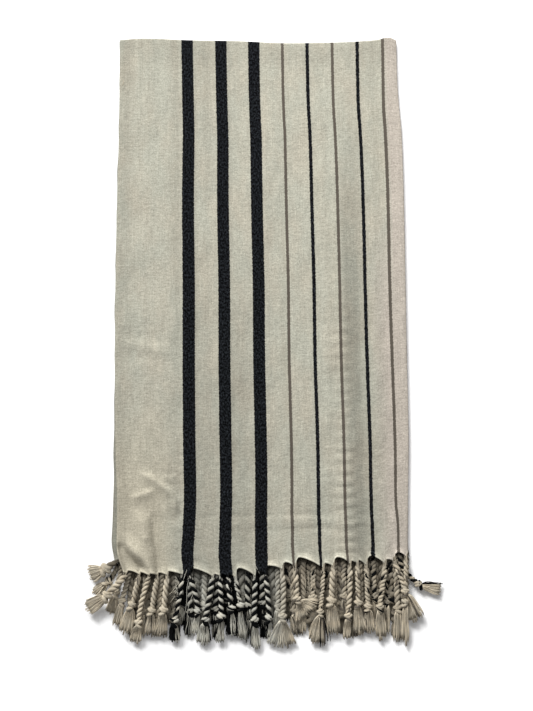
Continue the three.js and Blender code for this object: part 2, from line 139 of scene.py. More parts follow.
# Finer creases of the cloth, in the same columns
CREASES = (
    (0.0200, -0.3720, 0.1600, 0.0040, 1, -0.0007),
    (0.1200, -0.3930, 0.1200, 0.0035, 2, -0.0006),
    (-0.1750, -0.0700, 0.0420, 0.0045, -14, -0.0008),
    (-0.2050, -0.0980, 0.0300, 0.0040, -10, 0.0006),
    (-0.0500, -0.3300, 0.0900, 0.0060, 90, -0.0007),
    (0.0350, -0.3600, 0.0700, 0.0060, 92, -0.0008),
    (0.1200, -0.3300, 0.0800, 0.0060, 88, -0.0007),
    (0.2000, -0.3500, 0.0700, 0.0060, 91, -0.0008),
)

# Creases along lines: places x, y, then width, crest, and step down to the left of the line's way
CREASE_LINES = (
    (
        ((-0.217, -0.295), (-0.193, -0.300), (-0.175, -0.314), (-0.157, -0.326), (-0.147, -0.339),
         (-0.144, -0.354), (-0.142, -0.378)),
        0.0044, 0.0012, 0.0032,
    ),
    (((-0.226, -0.340), (-0.210, -0.334), (-0.195, -0.329), (-0.181, -0.325)), 0.0042, 0.0007, 0.0018),
    (((-0.169, -0.301), (-0.157, -0.306), (-0.144, -0.299)), 0.0040, 0.0002, 0.0010),
    (
        ((-0.208, -0.352), (-0.206, -0.385), (-0.201, -0.425), (-0.190, -0.458), (-0.186, -0.478)),
        0.0115, 0.0062, 0.0,
    ),
    (((-0.191, -0.360), (-0.188, -0.397), (-0.183, -0.431), (-0.177, -0.475)), 0.0062, -0.0010, 0.0036),
    (((-0.150, -0.370), (-0.147, -0.420), (-0.145, -0.475)), 0.0110, 0.0018, 0.0),
    (
        ((-0.2445, -0.412), (-0.2405, -0.424), (-0.234, -0.435), (-0.225, -0.445), (-0.208, -0.458)),
        0.0046, -0.0046, 0.0,
    ),
    (
        ((0.140, 0.300), (0.145, 0.120), (0.150, -0.100), (0.154, -0.300), (0.158, -0.480)),
        0.0110, 0.0, 0.0024,
    ),
    (((0.188, 0.200), (0.192, -0.100), (0.196, -0.440)), 0.0150, 0.0018, 0.0),
    (((-0.120, 0.060), (-0.119, -0.150), (-0.117, -0.470)), 0.0100, 0.0006, 0.0009),
    (((-0.056, 0.020), (-0.052, -0.200), (-0.049, -0.470)), 0.0100, 0.0006, 0.0010),
    (((0.045, -0.180), (0.050, -0.330), (0.054, -0.450)), 0.0100, 0.0010, 0.0009),
    (((-0.060, -0.371), (0.060, -0.374), (0.150, -0.382), (0.232, -0.396)), 0.0036, 0.0003, 0.0004),
    (((-0.250, -0.070), (-0.205, -0.077), (-0.160, -0.092)), 0.0060, 0.0004, 0.0010),
    (((-0.240, -0.118), (-0.200, -0.108), (-0.178, -0.112)), 0.0050, 0.0002, 0.0007),
    (((-0.215, -0.180), (-0.190, -0.215), (-0.175, -0.262)), 0.0080, 0.0018, 0.0),
    (((0.010, 0.330), (0.016, 0.180), (0.014, 0.060)), 0.0100, 0.0006, 0.0007),
    (((-0.244, 0.452), (-0.228, 0.430), (-0.214, 0.402)), 0.0090, 0.0008, 0.0009),
)

# Points of a crease's line, rounds that ease it, the y below which its end isn't tapered, and the depth from
# which a trough flattens
CREASE_POINTS = 41
CREASE_ROUNDS = 14
RUNS_OFF_THE_EDGE = -0.44
DEEPEST_TROUGH = 0.0009

# Curl of the lower left corner along its selvedge: how wide and high, and between which y it grows
CORNER_CURL = 0.0060
CORNER_CURL_FROM = -0.37
CORNER_CURL_FULL = -0.43

# Sideways drift of the warp on the panel that shows, none at its two edges: y, then the drift at each
# inner distance of DRIFT_ACROSS
DRIFT_ACROSS = (0.0, 0.1215, 0.2450, 0.3420, 0.4320, 0.4770, 0.5000)
WARP_DRIFT = (
    (0.4500, 0.0002, -0.0032, -0.0039, -0.0037, -0.0026),
    (0.3800, 0.0015, -0.0029, -0.0036, -0.0038, -0.0034),
    (0.3100, 0.0022, -0.0030, -0.0043, -0.0054, -0.0066),
    (0.1700, 0.0026, -0.0016, -0.0030, -0.0036, -0.0058),
    (0.0130, 0.0056, 0.0018, 0.0000, -0.0022, -0.0052),
    (-0.1200, 0.0052, 0.0018, 0.0004, -0.0006, -0.0032),
    (-0.2490, 0.0050, 0.0027, 0.0025, 0.0014, -0.0012),
    (-0.3190, 0.0046, 0.0024, 0.0030, 0.0026, 0.0002),
    (-0.3710, 0.0030, 0.0017, 0.0040, 0.0044, 0.0016),
    (-0.4060, 0.0011, 0.0025, 0.0055, 0.0062, 0.0052),
    (-0.4400, -0.0028, 0.0012, 0.0046, 0.0071, 0.0063),
    (-0.4640, -0.0068, -0.0020, 0.0018, 0.0060, 0.0060),
)

# Heights of the fringes: the lowest layer above the floor, the least for any yarn, the step from layer to
# layer near the cloth and at the tips, between which distances from the middle of the towel it lessens, and
# how soon a rope reaches its height
FLOOR_CLEARANCE = 0.0004
LOWEST = 0.0001
LEVEL_STEP = 0.0052
LEVEL_STEP_AT_TIPS = 0.0030
THINNING_FROM = 0.530
THINNING_TO = 0.592
ROOT_RISE = 0.014

# Front tassels: x of the root, knot x and y, tip x and y, bow of the rope, width of the brush, twist,
# thickness, dyes of the two plies and dyes across the brush (c cream, k black, n brown)
FRONT_TASSELS = (
    (-0.2290, -0.262, -0.501, -0.297, -0.523, 0.0000, 0.0290, 1, 1.20, "ccccc", "ccccc", "ccccccc"),
    (-0.2060, -0.220, -0.517, -0.233, -0.564, 0.0000, 0.0260, -1, 1.00, "ccccc", "ccccn", "cccccnc"),
    (-0.1880, -0.209, -0.546, -0.216, -0.579, -0.0030, 0.0200, 1, 0.95, "ccccc", "ccccc", "ccccc"),
    (-0.1740, -0.187, -0.527, -0.191, -0.568, 0.0000, 0.0190, -1, 1.00, "ccccc", "ccccc", "cccncc"),
    (-0.1570, -0.167, -0.526, -0.174, -0.568, 0.0000, 0.0220, -1, 1.05, "ccccc", "ccccc", "cccccc"),
    (-0.1300, -0.150, -0.544, -0.150, -0.579, 0.0020, 0.0210, 1, 0.95, "cckcc", "kkkkk", "kkkkkccc"),
    (-0.1180, -0.110, -0.529, -0.117, -0.567, 0.0030, 0.0120, -1, 1.00, "ccccc", "kkkkk", "cccccc"),
    (-0.0800, -0.098, -0.543, -0.102, -0.583, 0.0000, 0.0260, 1, 1.05, "ccccc", "kkkkk", "cccccck"),
    (-0.0680, -0.071, -0.538, -0.075, -0.582, 0.0000, 0.0150, -1, 1.00, "ccccc", "kkkkk", "kccncc"),
    (-0.0560, -0.054, -0.525, -0.052, -0.571, 0.0000, 0.0260, -1, 1.00, "cckcc", "kkkkk", "kkccckk"),
    (-0.0440, -0.038, -0.520, -0.034, -0.579, 0.0000, 0.0190, -1, 0.90, "ccccc", "kckkc", "cccckk"),
    (-0.0120, -0.017, -0.545, -0.015, -0.592, 0.0000, 0.0190, 1, 1.00, "ccccc", "kkkkk", "kkcccccc"),
    (0.0050, 0.008, -0.541, 0.005, -0.574, 0.0010, 0.0120, -1, 1.00, "ccccc", "kkkkk", "kkccc"),
    (0.0310, 0.030, -0.539, 0.028, -0.589, 0.0020, 0.0520, 1, 1.05, "ccccc", "ccccc", "cccccccccccncccc"),
    (0.0520, 0.0545, -0.5105, 0.0760, -0.5340, 0.0000, 0.0560, 1, 1.10, "ccccc", "ccncc", "ccccccccc"),
    (0.0970, 0.093, -0.532, 0.0885, -0.587, 0.0010, 0.0360, 1, 0.85, "ccccc", "ccckc", "ccccckcnk"),
    (0.1130, 0.112, -0.514, 0.116, -0.571, 0.0000, 0.0240, -1, 1.15, "ccccc", "ccccc", "ccccccc"),
    (0.1400, 0.139, -0.539, 0.136, -0.578, 0.0010, 0.0140, 1, 1.00, "ccccc", "ncccc", "ccnccc"),
    (0.1520, 0.157, -0.518, 0.160, -0.568, 0.0000, 0.0260, -1, 1.00, "ccccc", "ccncc", "ccccn"),
    (0.1660, 0.173, -0.524, 0.176, -0.567, 0.0000, 0.0200, -1, 1.00, "ccccc", "ccckc", "ccccc"),
    (0.1970, 0.192, -0.525, 0.195, -0.578, 0.0000, 0.0200, 1, 1.05, "ccccc", "kkccc", "ccccccc"),
    (0.2120, 0.235, -0.500, 0.254, -0.548, 0.0020, 0.0340, -1, 1.00, "ccccc", "ccncc", "ccccncc"),
    (0.2370, 0.2345, -0.517, 0.2350, -0.587, 0.0000, 0.0130, -1, 0.90, "ccccc", "ccccn", "cccc"),
)

# Tassels of the hidden layer under the front panel, in the same columns
FRONT_INNER_TASSELS = (
    (-0.2494, -0.266, -0.458, -0.294, -0.467, 0.0000, 0.0310, 1, 1.30, "ccccc", "ccccc", "ccccccc"),
    (-0.2220, -0.238, -0.512, -0.247, -0.552, 0.0000, 0.0160, 1, 1.00, "ccccc", "ccccc", "ccccc"),
    (-0.1960, -0.203, -0.528, -0.207, -0.570, 0.0000, 0.0160, -1, 1.00, "ccccc", "ccccc", "ccccc"),
    (-0.1690, -0.177, -0.536, -0.182, -0.572, 0.0000, 0.0160, 1, 1.00, "ccccc", "ccccc", "ccccc"),
    (-0.1460, -0.142, -0.500, -0.138, -0.545, 0.0000, 0.0160, -1, 1.00, "ccccc", "kckcc", "kccck"),
    (-0.1220, -0.124, -0.530, -0.128, -0.572, 0.0000, 0.0140, 1, 1.00, "ccccc", "kkkkk", "kckkc"),
    (-0.0980, -0.100, -0.520, -0.096, -0.560, 0.0000, 0.0140, -1, 1.05, "ccccc", "ccccc", "ccccc"),
    (-0.0740, -0.083, -0.528, -0.078, -0.566, 0.0000, 0.0140, 1, 1.00, "ccccc", "kkkkk", "kkcck"),
    (-0.0520, -0.048, -0.536, -0.046, -0.574, 0.0000, 0.0140, -1, 1.00, "kkkkk", "kkkkk", "kkkck"),
    (-0.0260, -0.028, -0.522, -0.029, -0.566, 0.0000, 0.0160, -1, 1.00, "ccccc", "kkkkk", "kkcckc"),
    (-0.0010, -0.004, -0.518, -0.005, -0.560, 0.0000, 0.0140, 1, 1.10, "ccccc", "kkkkk", "kkkck"),
    (0.0230, 0.023, -0.524, 0.019, -0.566, 0.0000, 0.0150, 1, 0.95, "ccccc", "ccccc", "ccccc"),
    (0.0450, 0.050, -0.530, 0.058, -0.566, 0.0000, 0.0280, 1, 1.00, "ccccc", "nccnc", "ccncc"),
    (0.0670, 0.065, -0.530, 0.064, -0.566, 0.0000, 0.0140, -1, 0.95, "ccccc", "ccccc", "ccccc"),
    (0.0840, 0.081, -0.510, 0.083, -0.552, 0.0000, 0.0140, 1, 1.00, "ccccc", "kcccc", "ccccc"),
    (0.1200, 0.118, -0.522, 0.120, -0.562, 0.0000, 0.0130, 1, 0.90, "ccccc", "ccccc", "ccccc"),
    (0.1340, 0.134, -0.508, 0.136, -0.548, 0.0000, 0.0130, 1, 1.00, "ccccc", "nnccc", "cnccc"),
    (0.1610, 0.162, -0.530, 0.160, -0.572, 0.0000, 0.0140, 1, 1.00, "ccccc", "ccccc", "ccccc"),
    (0.1840, 0.184, -0.510, 0.182, -0.552, 0.0000, 0.0140, 1, 1.00, "ccccc", "kkkcc", "kcccc"),
    (0.2040, 0.205, -0.518, 0.202, -0.572, 0.0000, 0.0140, -1, 0.85, "ccccc", "kkkkc", "ccccc"),
    (0.2200, 0.223, -0.528, 0.222, -0.582, 0.0000, 0.0180, 1, 1.05, "ccccc", "cnccc", "ccccncc"),
    (0.2300, 0.260, -0.489, 0.2985, -0.498, -0.0120, 0.0230, -1, 0.95, "ccccc", "kkkkk", "ccccckk"),
)

# The splayed tassel at the left of each of the two lower layers, in the same columns
BACK_INNER_SPLAYED = (
    (-0.2380, -0.249, -0.500, -0.257, -0.533, 0.0000, 0.0240, 1, 0.90, "ccccc", "ccccc", "ccccc"),
)
BACK_SPLAYED = (
    (-0.2460, -0.262, -0.480, -0.286, -0.500, 0.0020, 0.0220, -1, 0.90, "kkcck", "ccccc", "cccccck"),
)

# The even lanes of their other tassels: first x, count, knot y, tip y, stagger, brush width
LANE = 0.025
LANE_WAVE = 0.0035
LANE_WAVE_LENGTH = 0.046
LANE_THICKNESS = 1.50
INNER_LANES = (-0.2120, 19, -0.508, -0.552, 0.004, 0.0190)
OUTER_LANES = (-0.2245, 19, -0.534, -0.572, 0.005, 0.0180)

# Yarns that came loose: dye, thickness, and their places
LOOSE_YARNS = (
    ("c", 1.2, ((-0.2415, 0.394, 0.0098), (-0.2385, 0.391, 0.0104), (-0.2395, 0.385, 0.0104),
                (-0.2425, 0.381, 0.0096))),
    ("c", 1.1, ((-0.0160, -0.451, 0.0110), (-0.0120, -0.458, 0.0122), (-0.0070, -0.468, 0.0110))),
    ("c", 1.0, ((-0.1285, -0.460, 0.0115), (-0.1340, -0.476, 0.0140), (-0.1420, -0.494, 0.0150),
                (-0.1560, -0.513, 0.0150))),
    ("k", 1.0, ((-0.1270, -0.462, 0.0110), (-0.1360, -0.480, 0.0140), (-0.1460, -0.494, 0.0145),
                (-0.1600, -0.508, 0.0140))),
    ("c", 0.9, ((-0.1300, -0.464, 0.0110), (-0.1440, -0.484, 0.0140), (-0.1570, -0.500, 0.0140),
                (-0.1650, -0.504, 0.0130))),
    ("k", 0.9, ((-0.1330, -0.466, 0.0110), (-0.1400, -0.486, 0.0150), (-0.1500, -0.506, 0.0155),
                (-0.1540, -0.524, 0.0150))),
    ("c", 0.9, ((-0.1240, -0.470, 0.0120), (-0.1290, -0.490, 0.0155), (-0.1280, -0.512, 0.0160),
                (-0.1330, -0.534, 0.0140))),
    ("c", 0.9, ((-0.1130, -0.480, 0.0120), (-0.1180, -0.500, 0.0165), (-0.1260, -0.518, 0.0165),
                (-0.1290, -0.545, 0.0130))),
    ("k", 1.0, ((0.0660, -0.487, 0.0125), (0.0690, -0.493, 0.0135), (0.0720, -0.503, 0.0125))),
    ("c", 0.9, ((0.0680, -0.468, 0.0090), (0.0700, -0.484, 0.0110), (0.0690, -0.502, 0.0110))),
    ("c", 0.9, ((0.0740, -0.466, 0.0090), (0.0750, -0.484, 0.0115), (0.0770, -0.504, 0.0110))),
    ("c", 0.9, ((0.0800, -0.466, 0.0090), (0.0800, -0.482, 0.0115), (0.0850, -0.500, 0.0110))),
    ("c", 0.9, ((0.0860, -0.468, 0.0090), (0.0840, -0.484, 0.0115), (0.0880, -0.500, 0.0110))),
    ("k", 1.3, ((0.1050, -0.515, 0.0130), (0.1090, -0.535, 0.0130), (0.1070, -0.556, 0.0110),
                (0.1100, -0.580, 0.0080))),
    ("k", 1.1, ((0.0430, -0.534, 0.0130), (0.0500, -0.545, 0.0120), (0.0530, -0.560, 0.0100))),
    ("c", 0.8, ((0.2300, -0.470, 0.0120), (0.2400, -0.484, 0.0130), (0.2420, -0.500, 0.0110))),
)

# Painted shade in soft darker bands of the cloth along the warp, for its troughs and edges: place across
# the cut, half width, strength, and the distances from the fringe where each begins and where it is full
PAINTED_SHADE_BANDS = (
    (0.0100, 0.0240, 0.12, 2.0, 1.8),
    (0.1530, 0.0340, 0.15, 0.60, 0.25),
    (0.2150, 0.0320, 0.15, 0.62, 0.28),
    (0.0990, 0.0180, 0.09, 1.4, 0.8),
    (0.1340, 0.0090, 0.11, 2.0, 1.8),
    (0.1960, 0.0090, 0.11, 2.0, 1.8),
    (0.4360, 0.0120, 0.09, 0.80, 0.40),
    (0.4110, 0.0300, 0.30, 0.90, 0.44),
    (0.1530, 0.0300, 0.12, 0.55, 0.85),
    (0.4560, 0.0120, 0.05, 1.2, 0.8),
)

# Warp stripes of the cut, in metres from the selvedge, the same from both selvedges
WIDE_STRIPES = (0.1215, 0.1840, 0.2450)
WIDE_STRIPE_HALF = 0.0106
FIRST_THIN_STRIPE = 0.2970
THIN_STRIPE_PITCH = 0.0450
THIN_STRIPE_HALF = 0.0026
THIN_BLACK_HALF = 0.0031
THIN_STRIPES_END = 0.7150
STRIPE_SOFTNESS = 0.0004

# The fringe is cooler below the wide stripes: x of their middle, and how far from it fully and at all
WIDE_STRIPES_MIDDLE = -0.060
COOLEST_WITHIN = 0.070
COOLER_WITHIN = 0.110

# Uneven shade of the cloth, from its threads to its bands: how often it changes across and along the cut in
# each metre, its roughness, and its darkest and lightest
CLOTH_SHADES = (
    ((520.0, 22.0, 1.0), 0.60, 0.87, 1.12),
    ((26.0, 560.0, 1.0), 0.60, 0.93, 1.06),
    ((420.0, 420.0, 1.0), 0.75, 0.64, 1.34),
    ((75.0, 1.6, 1.0), 0.60, 0.93, 1.06),
    ((110.0, 300.0, 1.0), 0.70, 0.77, 1.21),
)

# Grid of the cloth along the cut: from, to, and about how far apart; and the steps across it
LENGTHWISE_GRID = (
    (0, 0.030, 0.0022),
    (0.030, 0.200, 0.0031),
    (0.200, 0.420, 0.0060),
    (0.420, TURN_START, 0.0090),
    (TURN_START, TURN_END, TURN_LENGTH / 7),
    (TURN_END, CUT_LENGTH - 0.06, 0.019),
    (CUT_LENGTH - 0.06, CUT_LENGTH, 0.006),
)
STEP_NEAR_SELVEDGE = 0.0029
NEAR_SELVEDGE = 0.12
STEP_ACROSS = 0.0040
STEP_HIDDEN = 0.011
WRAP_LINES = 7

# The studio: a camera placed as the photo's was, the floor, the sky, and each light's kind, place, size and
# power
CAMERA_PLACE = (0.0085, -0.2865, 1.6922)
CAMERA_TILT = 6.3
CAMERA_ROLL = 0.63
LENS = 50
SENSOR_WIDTH = 36
FLOOR_SIZE = 8
FLOOR_LEVEL = -0.0003
SKY_STRENGTH = 0.31
LIGHTS = (
    ("window", "SUN", (-0.42, 0.90, 0.56), 0.36, 4.5),
    ("key", "AREA", (0.05, 0.80, 1.15), 0.7, 12),
)

# The dyes of a yarn, and the tone that its attribute's highest value stands for
LIGHTEST_TONE = 1.5
BLACK_DYE = (1.0, 0.0)
BROWN_DYE = (0.0, 1.0)
NO_DYE = (0.0, 0.0)
DYES = {"c": NO_DYE, "k": BLACK_DYE, "n": BROWN_DYE}


# Sizes and colours that a user would change
class TowelSizes(bpy.types.PropertyGroup):
    cloth_thickness: bpy.props.FloatProperty(
        name="Cloth thickness", description="Thickness of one layer of the cloth",
        default=0.0011, min=0.0006, max=0.0015, precision=5, unit="LENGTH",
    )
    weave_pitch: bpy.props.FloatProperty(
        name="Weave pitch", description="Distance from one warp thread to the next",
        default=0.00105, min=0.0005, max=0.003, precision=5, unit="LENGTH",
    )
    ply_radius: bpy.props.FloatProperty(
        name="Ply radius", description="Radius of one ply of a tassel's rope",
        default=0.0026, min=0.001, max=0.003, precision=5, unit="LENGTH",
    )
    rope_pitch: bpy.props.FloatProperty(
        name="Rope pitch", description="Length of one full twist of a rope",
        default=0.0170, min=0.008, max=0.04, precision=4, unit="LENGTH",
    )
    yarn_radius: bpy.props.FloatProperty(
        name="Yarn radius", description="Radius of a loose yarn in a brush",
        default=0.00046, min=0.0002, max=0.001, precision=5, unit="LENGTH",
    )


class TowelColours(bpy.types.PropertyGroup):
    cream: bpy.props.FloatVectorProperty(
        name="Undyed cloth", description="Colour of the undyed cloth",
        subtype="COLOR", default=(0.372, 0.360, 0.298), min=0, max=1,
    )
    black: bpy.props.FloatVectorProperty(
        name="Black dye", description="Colour of the black warp threads",
        subtype="COLOR", default=(0.0021, 0.0024, 0.0028), min=0, max=1,
    )
    brown: bpy.props.FloatVectorProperty(
        name="Brown dye", description="Colour of the brown warp threads",
        subtype="COLOR", default=(0.088, 0.076, 0.062), min=0, max=1,
    )
    yarn: bpy.props.FloatVectorProperty(
        name="Undyed yarn", description="Colour of the undyed yarns in the fringes",
        subtype="COLOR", default=(0.480, 0.415, 0.312), min=0, max=1,
    )
    floor: bpy.props.FloatVectorProperty(
        name="Floor", description="Colour of the pale floor",
        subtype="COLOR", default=(0.97, 0.97, 0.97), min=0, max=1,
    )


# A smooth curve through a table's rows, level beyond its two ends
def curve_through(rows, at, value=1):
    rows = np.array(sorted(rows), float)
    key, out = rows[:, 0], rows[:, value]
    before = np.maximum(np.arange(len(key)) - 1, 0)
    after = np.minimum(np.arange(len(key)) + 1, len(key) - 1)
    slope = (out[after] - out[before]) / (key[after] - key[before])
    at = np.clip(at, key[0], key[-1])
    i = np.clip(np.searchsorted(key, at) - 1, 0, len(key) - 2)
    span = key[i + 1] - key[i]
    u = (at - key[i]) / span
    keep = 2 * u**3 - 3 * u**2 + 1
    bend = (u**3 - 2 * u**2 + u) * span * slope[i] + (u**3 - u**2) * span * slope[i + 1]
    return keep * out[i] + (1 - keep) * out[i + 1] + bend


def smoothstep(value, low, high):
    u = np.clip((value - low) / (high - low), 0, 1)
    return u * u * (3 - 2 * u)


def bell(distance, width):
    """One at no distance, and next to nothing beyond two widths."""
    return np.exp(-((distance / width) ** 2))


def bezier(start, bend, end, u):
    return (1 - u) ** 2 * start + 2 * u * (1 - u) * bend + u**2 * end


def eased_line(places, count, rounds):
    """Points of a line through a few places, with its corners eased round by round."""
    even, rows = np.linspace(0, 1, len(places)), np.linspace(0, 1, count)
    line = np.column_stack([np.interp(rows, even, column) for column in np.transpose(places)])
    for _ in range(rounds):
        line[1:-1] = (line[:-2] + 2 * line[1:-1] + line[2:]) / 4
    return line


# Sum of the long soft humps of a table at a place
def humps(rows, x, y):
    total = np.zeros(np.broadcast(x, y).shape)
    for centre_x, centre_y, length, width, turn, rise in rows:
        cos, sin = math.cos(math.radians(turn)), math.sin(math.radians(turn))
        along = (x - centre_x) * cos + (y - centre_y) * sin
        across = (y - centre_y) * cos - (x - centre_x) * sin
        total += rise * np.exp(-((along / length) ** 2) - (across / width) ** 2)
    return total


# Sum of the creases that run along lines, tapered at their ends
def line_creases(x, y):
    x, y = np.broadcast_arrays(x, y)
    total = np.zeros(x.shape)
    for places, width, crest, step in CREASE_LINES:
        line = eased_line(places, CREASE_POINTS, CREASE_ROUNDS)
        low, high = line.min(axis=0) - 8 * width, line.max(axis=0) + 8 * width
        inside = (x > low[0]) & (x < high[0]) & (y > low[1]) & (y < high[1])
        off = np.stack([x[inside], y[inside]], axis=-1)[:, None] - line
        nearest = (off**2).sum(axis=-1).argmin(axis=1)
        way = unit(np.gradient(line, axis=0))[nearest]
        off = off[np.arange(len(off)), nearest]
        left = (way[:, 0] * off[:, 1] - way[:, 1] * off[:, 0]) / width
        beyond = (way * off).sum(axis=-1) / width
        u = nearest / (len(line) - 1)
        taper = smoothstep(u, 0, 0.25)
        if places[-1][1] >= RUNS_OFF_THE_EDGE:
            taper = taper * smoothstep(1 - u, 0, 0.25)
        wobble = 1 + 0.12 * np.sin(u * 17 + places[0][0] * 90)
        shoulder = step * bell(left, 2.8) * (0.7 - left / np.sqrt(0.3 + left**2))
        height = crest * bell(left, 1) + shoulder
        total[inside] += height * taper * wobble * bell(beyond, 1)
    return total


# Gentle unevenness of cloth that was folded and smoothed by hand
def undulation(x, y):
    chance = np.random.default_rng(41)
    total = np.zeros(np.broadcast(x, y).shape)
    for shortest, longest, rise, count in ((0.06, 0.14, 0.00022, 9), (0.024, 0.05, 0.00007, 9)):
        for _ in range(count):
            turn = chance.uniform(0, math.pi)
            wave = 2 * math.pi / chance.uniform(shortest, longest)
            start = chance.uniform(0, 2 * math.pi)
            total += rise * np.sin(wave * (x * math.cos(turn) + y * math.sin(turn)) + start)
    return total


def across_of(x, on_top):
    """Distance from the selvedge of a place on the fringed edge."""
    left = SELVEDGE[-1][1 if on_top else 2]
    return (x - left) / (TURNED_EDGE[-1][1] - left) * PANEL_WIDTH


def lane_tassels(lanes, above):
    """Tassels of a lower layer, evenly spaced beside each other."""
    first, count, knot_y, tip_y, stagger, brush = lanes
    rows = []
    for i in range(count):
        root = first + LANE * i
        sway = LANE_WAVE * math.sin(root / LANE_WAVE_LENGTH)
        shift = stagger * ((i * 2) % 3) - stagger
        at = across_of(root, False)
        dyes = dyes_near(at if above else CUT_WIDTH - at, 0.011)
        plies = (dyes[0::2] + "ccccc")[:5], (dyes[1::2] + "ccccc")[:5]
        place = (root, root + sway, knot_y + shift, root + 2 * sway, tip_y + shift, 0.0, brush)
        rows.append((*place, 1 if i % 2 else -1, LANE_THICKNESS, *plies, dyes))
    return tuple(rows)


def dyes_near(at, reach):
    """The dyes of ten warp threads about a place in the cut, as letters."""
    letters = ""
    for thread in np.linspace(at - reach, at + reach, 10):
        from_selvedge = min(thread, CUT_WIDTH - thread)
        step = round((thread - FIRST_THIN_STRIPE) / THIN_STRIPE_PITCH)
        from_thin = abs(thread - FIRST_THIN_STRIPE - step * THIN_STRIPE_PITCH)
        if any(abs(from_selvedge - wide) < WIDE_STRIPE_HALF for wide in WIDE_STRIPES):
            letters += "k"
        elif from_thin < THIN_STRIPE_HALF and FIRST_THIN_STRIPE < thread + 0.01 < THIN_STRIPES_END:
            letters += "k" if step % 2 else "n"
        else:
            letters += "c"
    return letters


BACK_INNER_TASSELS = BACK_INNER_SPLAYED + lane_tassels(INNER_LANES, False)
BACK_TASSELS = BACK_SPLAYED + lane_tassels(OUTER_LANES, True)

# How the fringed edge of each layer is gathered: its tassels, on top or not, depth and curl of the
# arches for their width, and how far back the edge lies
GATHERS = {
    "front": (FRONT_TASSELS, True, 0.52, 0.17, 0.0),
    "front_inner": (FRONT_INNER_TASSELS, False, 0.20, 0.02, 0.012),
    "back_inner": (BACK_INNER_TASSELS, False, 0.16, 0.0, 0.013),
    "back": (BACK_TASSELS, False, 0.16, 0.0, 0.010),
}

# Limits of the arches and of their lips, the pleats' rise, and how near the selvedge a root may be
DEEPEST_ARCH = 0.017
HIGHEST_LIP = 0.0060
LIP_WIDTH = 0.0065
PLEAT_RISE = 0.0085
ROOT_MARGIN = 0.0012


def gathered(layer, across, from_edge):
    """How the knotted ends pull a layer's edge: sideways, along the cloth, and up."""
    tassels, on_top, depth, curl, back = GATHERS[layer]
    roots = np.sort([max(ROOT_MARGIN, across_of(row[0], on_top)) for row in tassels])
    ends = np.concatenate([[-roots[0]], roots, [2 * PANEL_WIDTH - roots[-1]]])
    gaps = np.diff(ends)
    further = np.interp((ends[1:] + ends[:-1]) / 2, (0.10, 0.22), (0.5, 1.0)) if on_top else 1.0
    deep = np.minimum(depth * gaps, DEEPEST_ARCH) * further
    pull = 0.4 * np.concatenate([deep[:1], (deep[1:] + deep[:-1]) / 2, deep[-1:]])
    i = np.clip(np.searchsorted(ends, across) - 1, 0, len(gaps) - 1)
    gap = gaps[i]
    u = np.clip((across - ends[i]) / gap, 0, 1)
    peak = np.where((i == 0) | (i == len(gaps) - 1), 0.5, 0.20 + 0.07 * np.sin(2.3 * i))
    rise = np.sin(0.5 * math.pi * np.where(u < peak, u / peak, (1 - u) / (1 - peak)))
    rise = np.where(u < peak, rise**0.9, rise**1.25)
    near = bell(from_edge, 0.45 * gap + 0.005)
    along = (deep[i] * rise - pull[i] * (1 - u) - pull[i + 1] * u) * near
    along = along + back * (1 + 0.6 * bell(across, 0.025)) * bell(from_edge, 0.05)
    aside = -0.40 * gap * np.sin(2 * math.pi * u) / (2 * math.pi) * near
    lip = np.minimum(1.3 * curl * gap, HIGHEST_LIP) * np.sin(math.pi * u) ** 0.8
    up = lip * bell(from_edge, LIP_WIDTH)
    off = (u - peak) * gap
    pleat = bell(off, 0.0042) - 0.7 * bell(off - 0.008, 0.006)
    up = up + curl * PLEAT_RISE * np.clip(gap / 0.03, 0, 1) * pleat * bell(from_edge, 0.028)
    return aside, along, up


def warp_drift(across, y):
    """How far the warp leans to the right at a place on the panel that shows."""
    total = np.zeros(np.broadcast(across, y).shape)
    for column in range(1, len(DRIFT_ACROSS) - 1):
        share = np.zeros(len(DRIFT_ACROSS))
        share[column] = 1.0
        total += np.interp(across, DRIFT_ACROSS, share) * curve_through(WARP_DRIFT, y, column)
    return total


def relief(x, y, across, plain_y, weight, fade):
    """Height of the folds and creases at a place, for how high its layer lies and how near its edges are."""
    top_layer = smoothstep(weight, 0.86, 1.0)
    raised = (0.6 * humps(RIDGES, x, y) + humps(CREASES, x, y)) * weight**2.2 * fade
    raised = raised + line_creases(x, y) * top_layer * fade
    corner = bell(across, CORNER_CURL) * smoothstep(-plain_y, -CORNER_CURL_FROM, -CORNER_CURL_FULL)
    raised = raised + CORNER_CURL * corner * top_layer
    return np.where(raised < -DEEPEST_TROUGH, 0.12 * (raised + DEEPEST_TROUGH) - DEEPEST_TROUGH, raised)


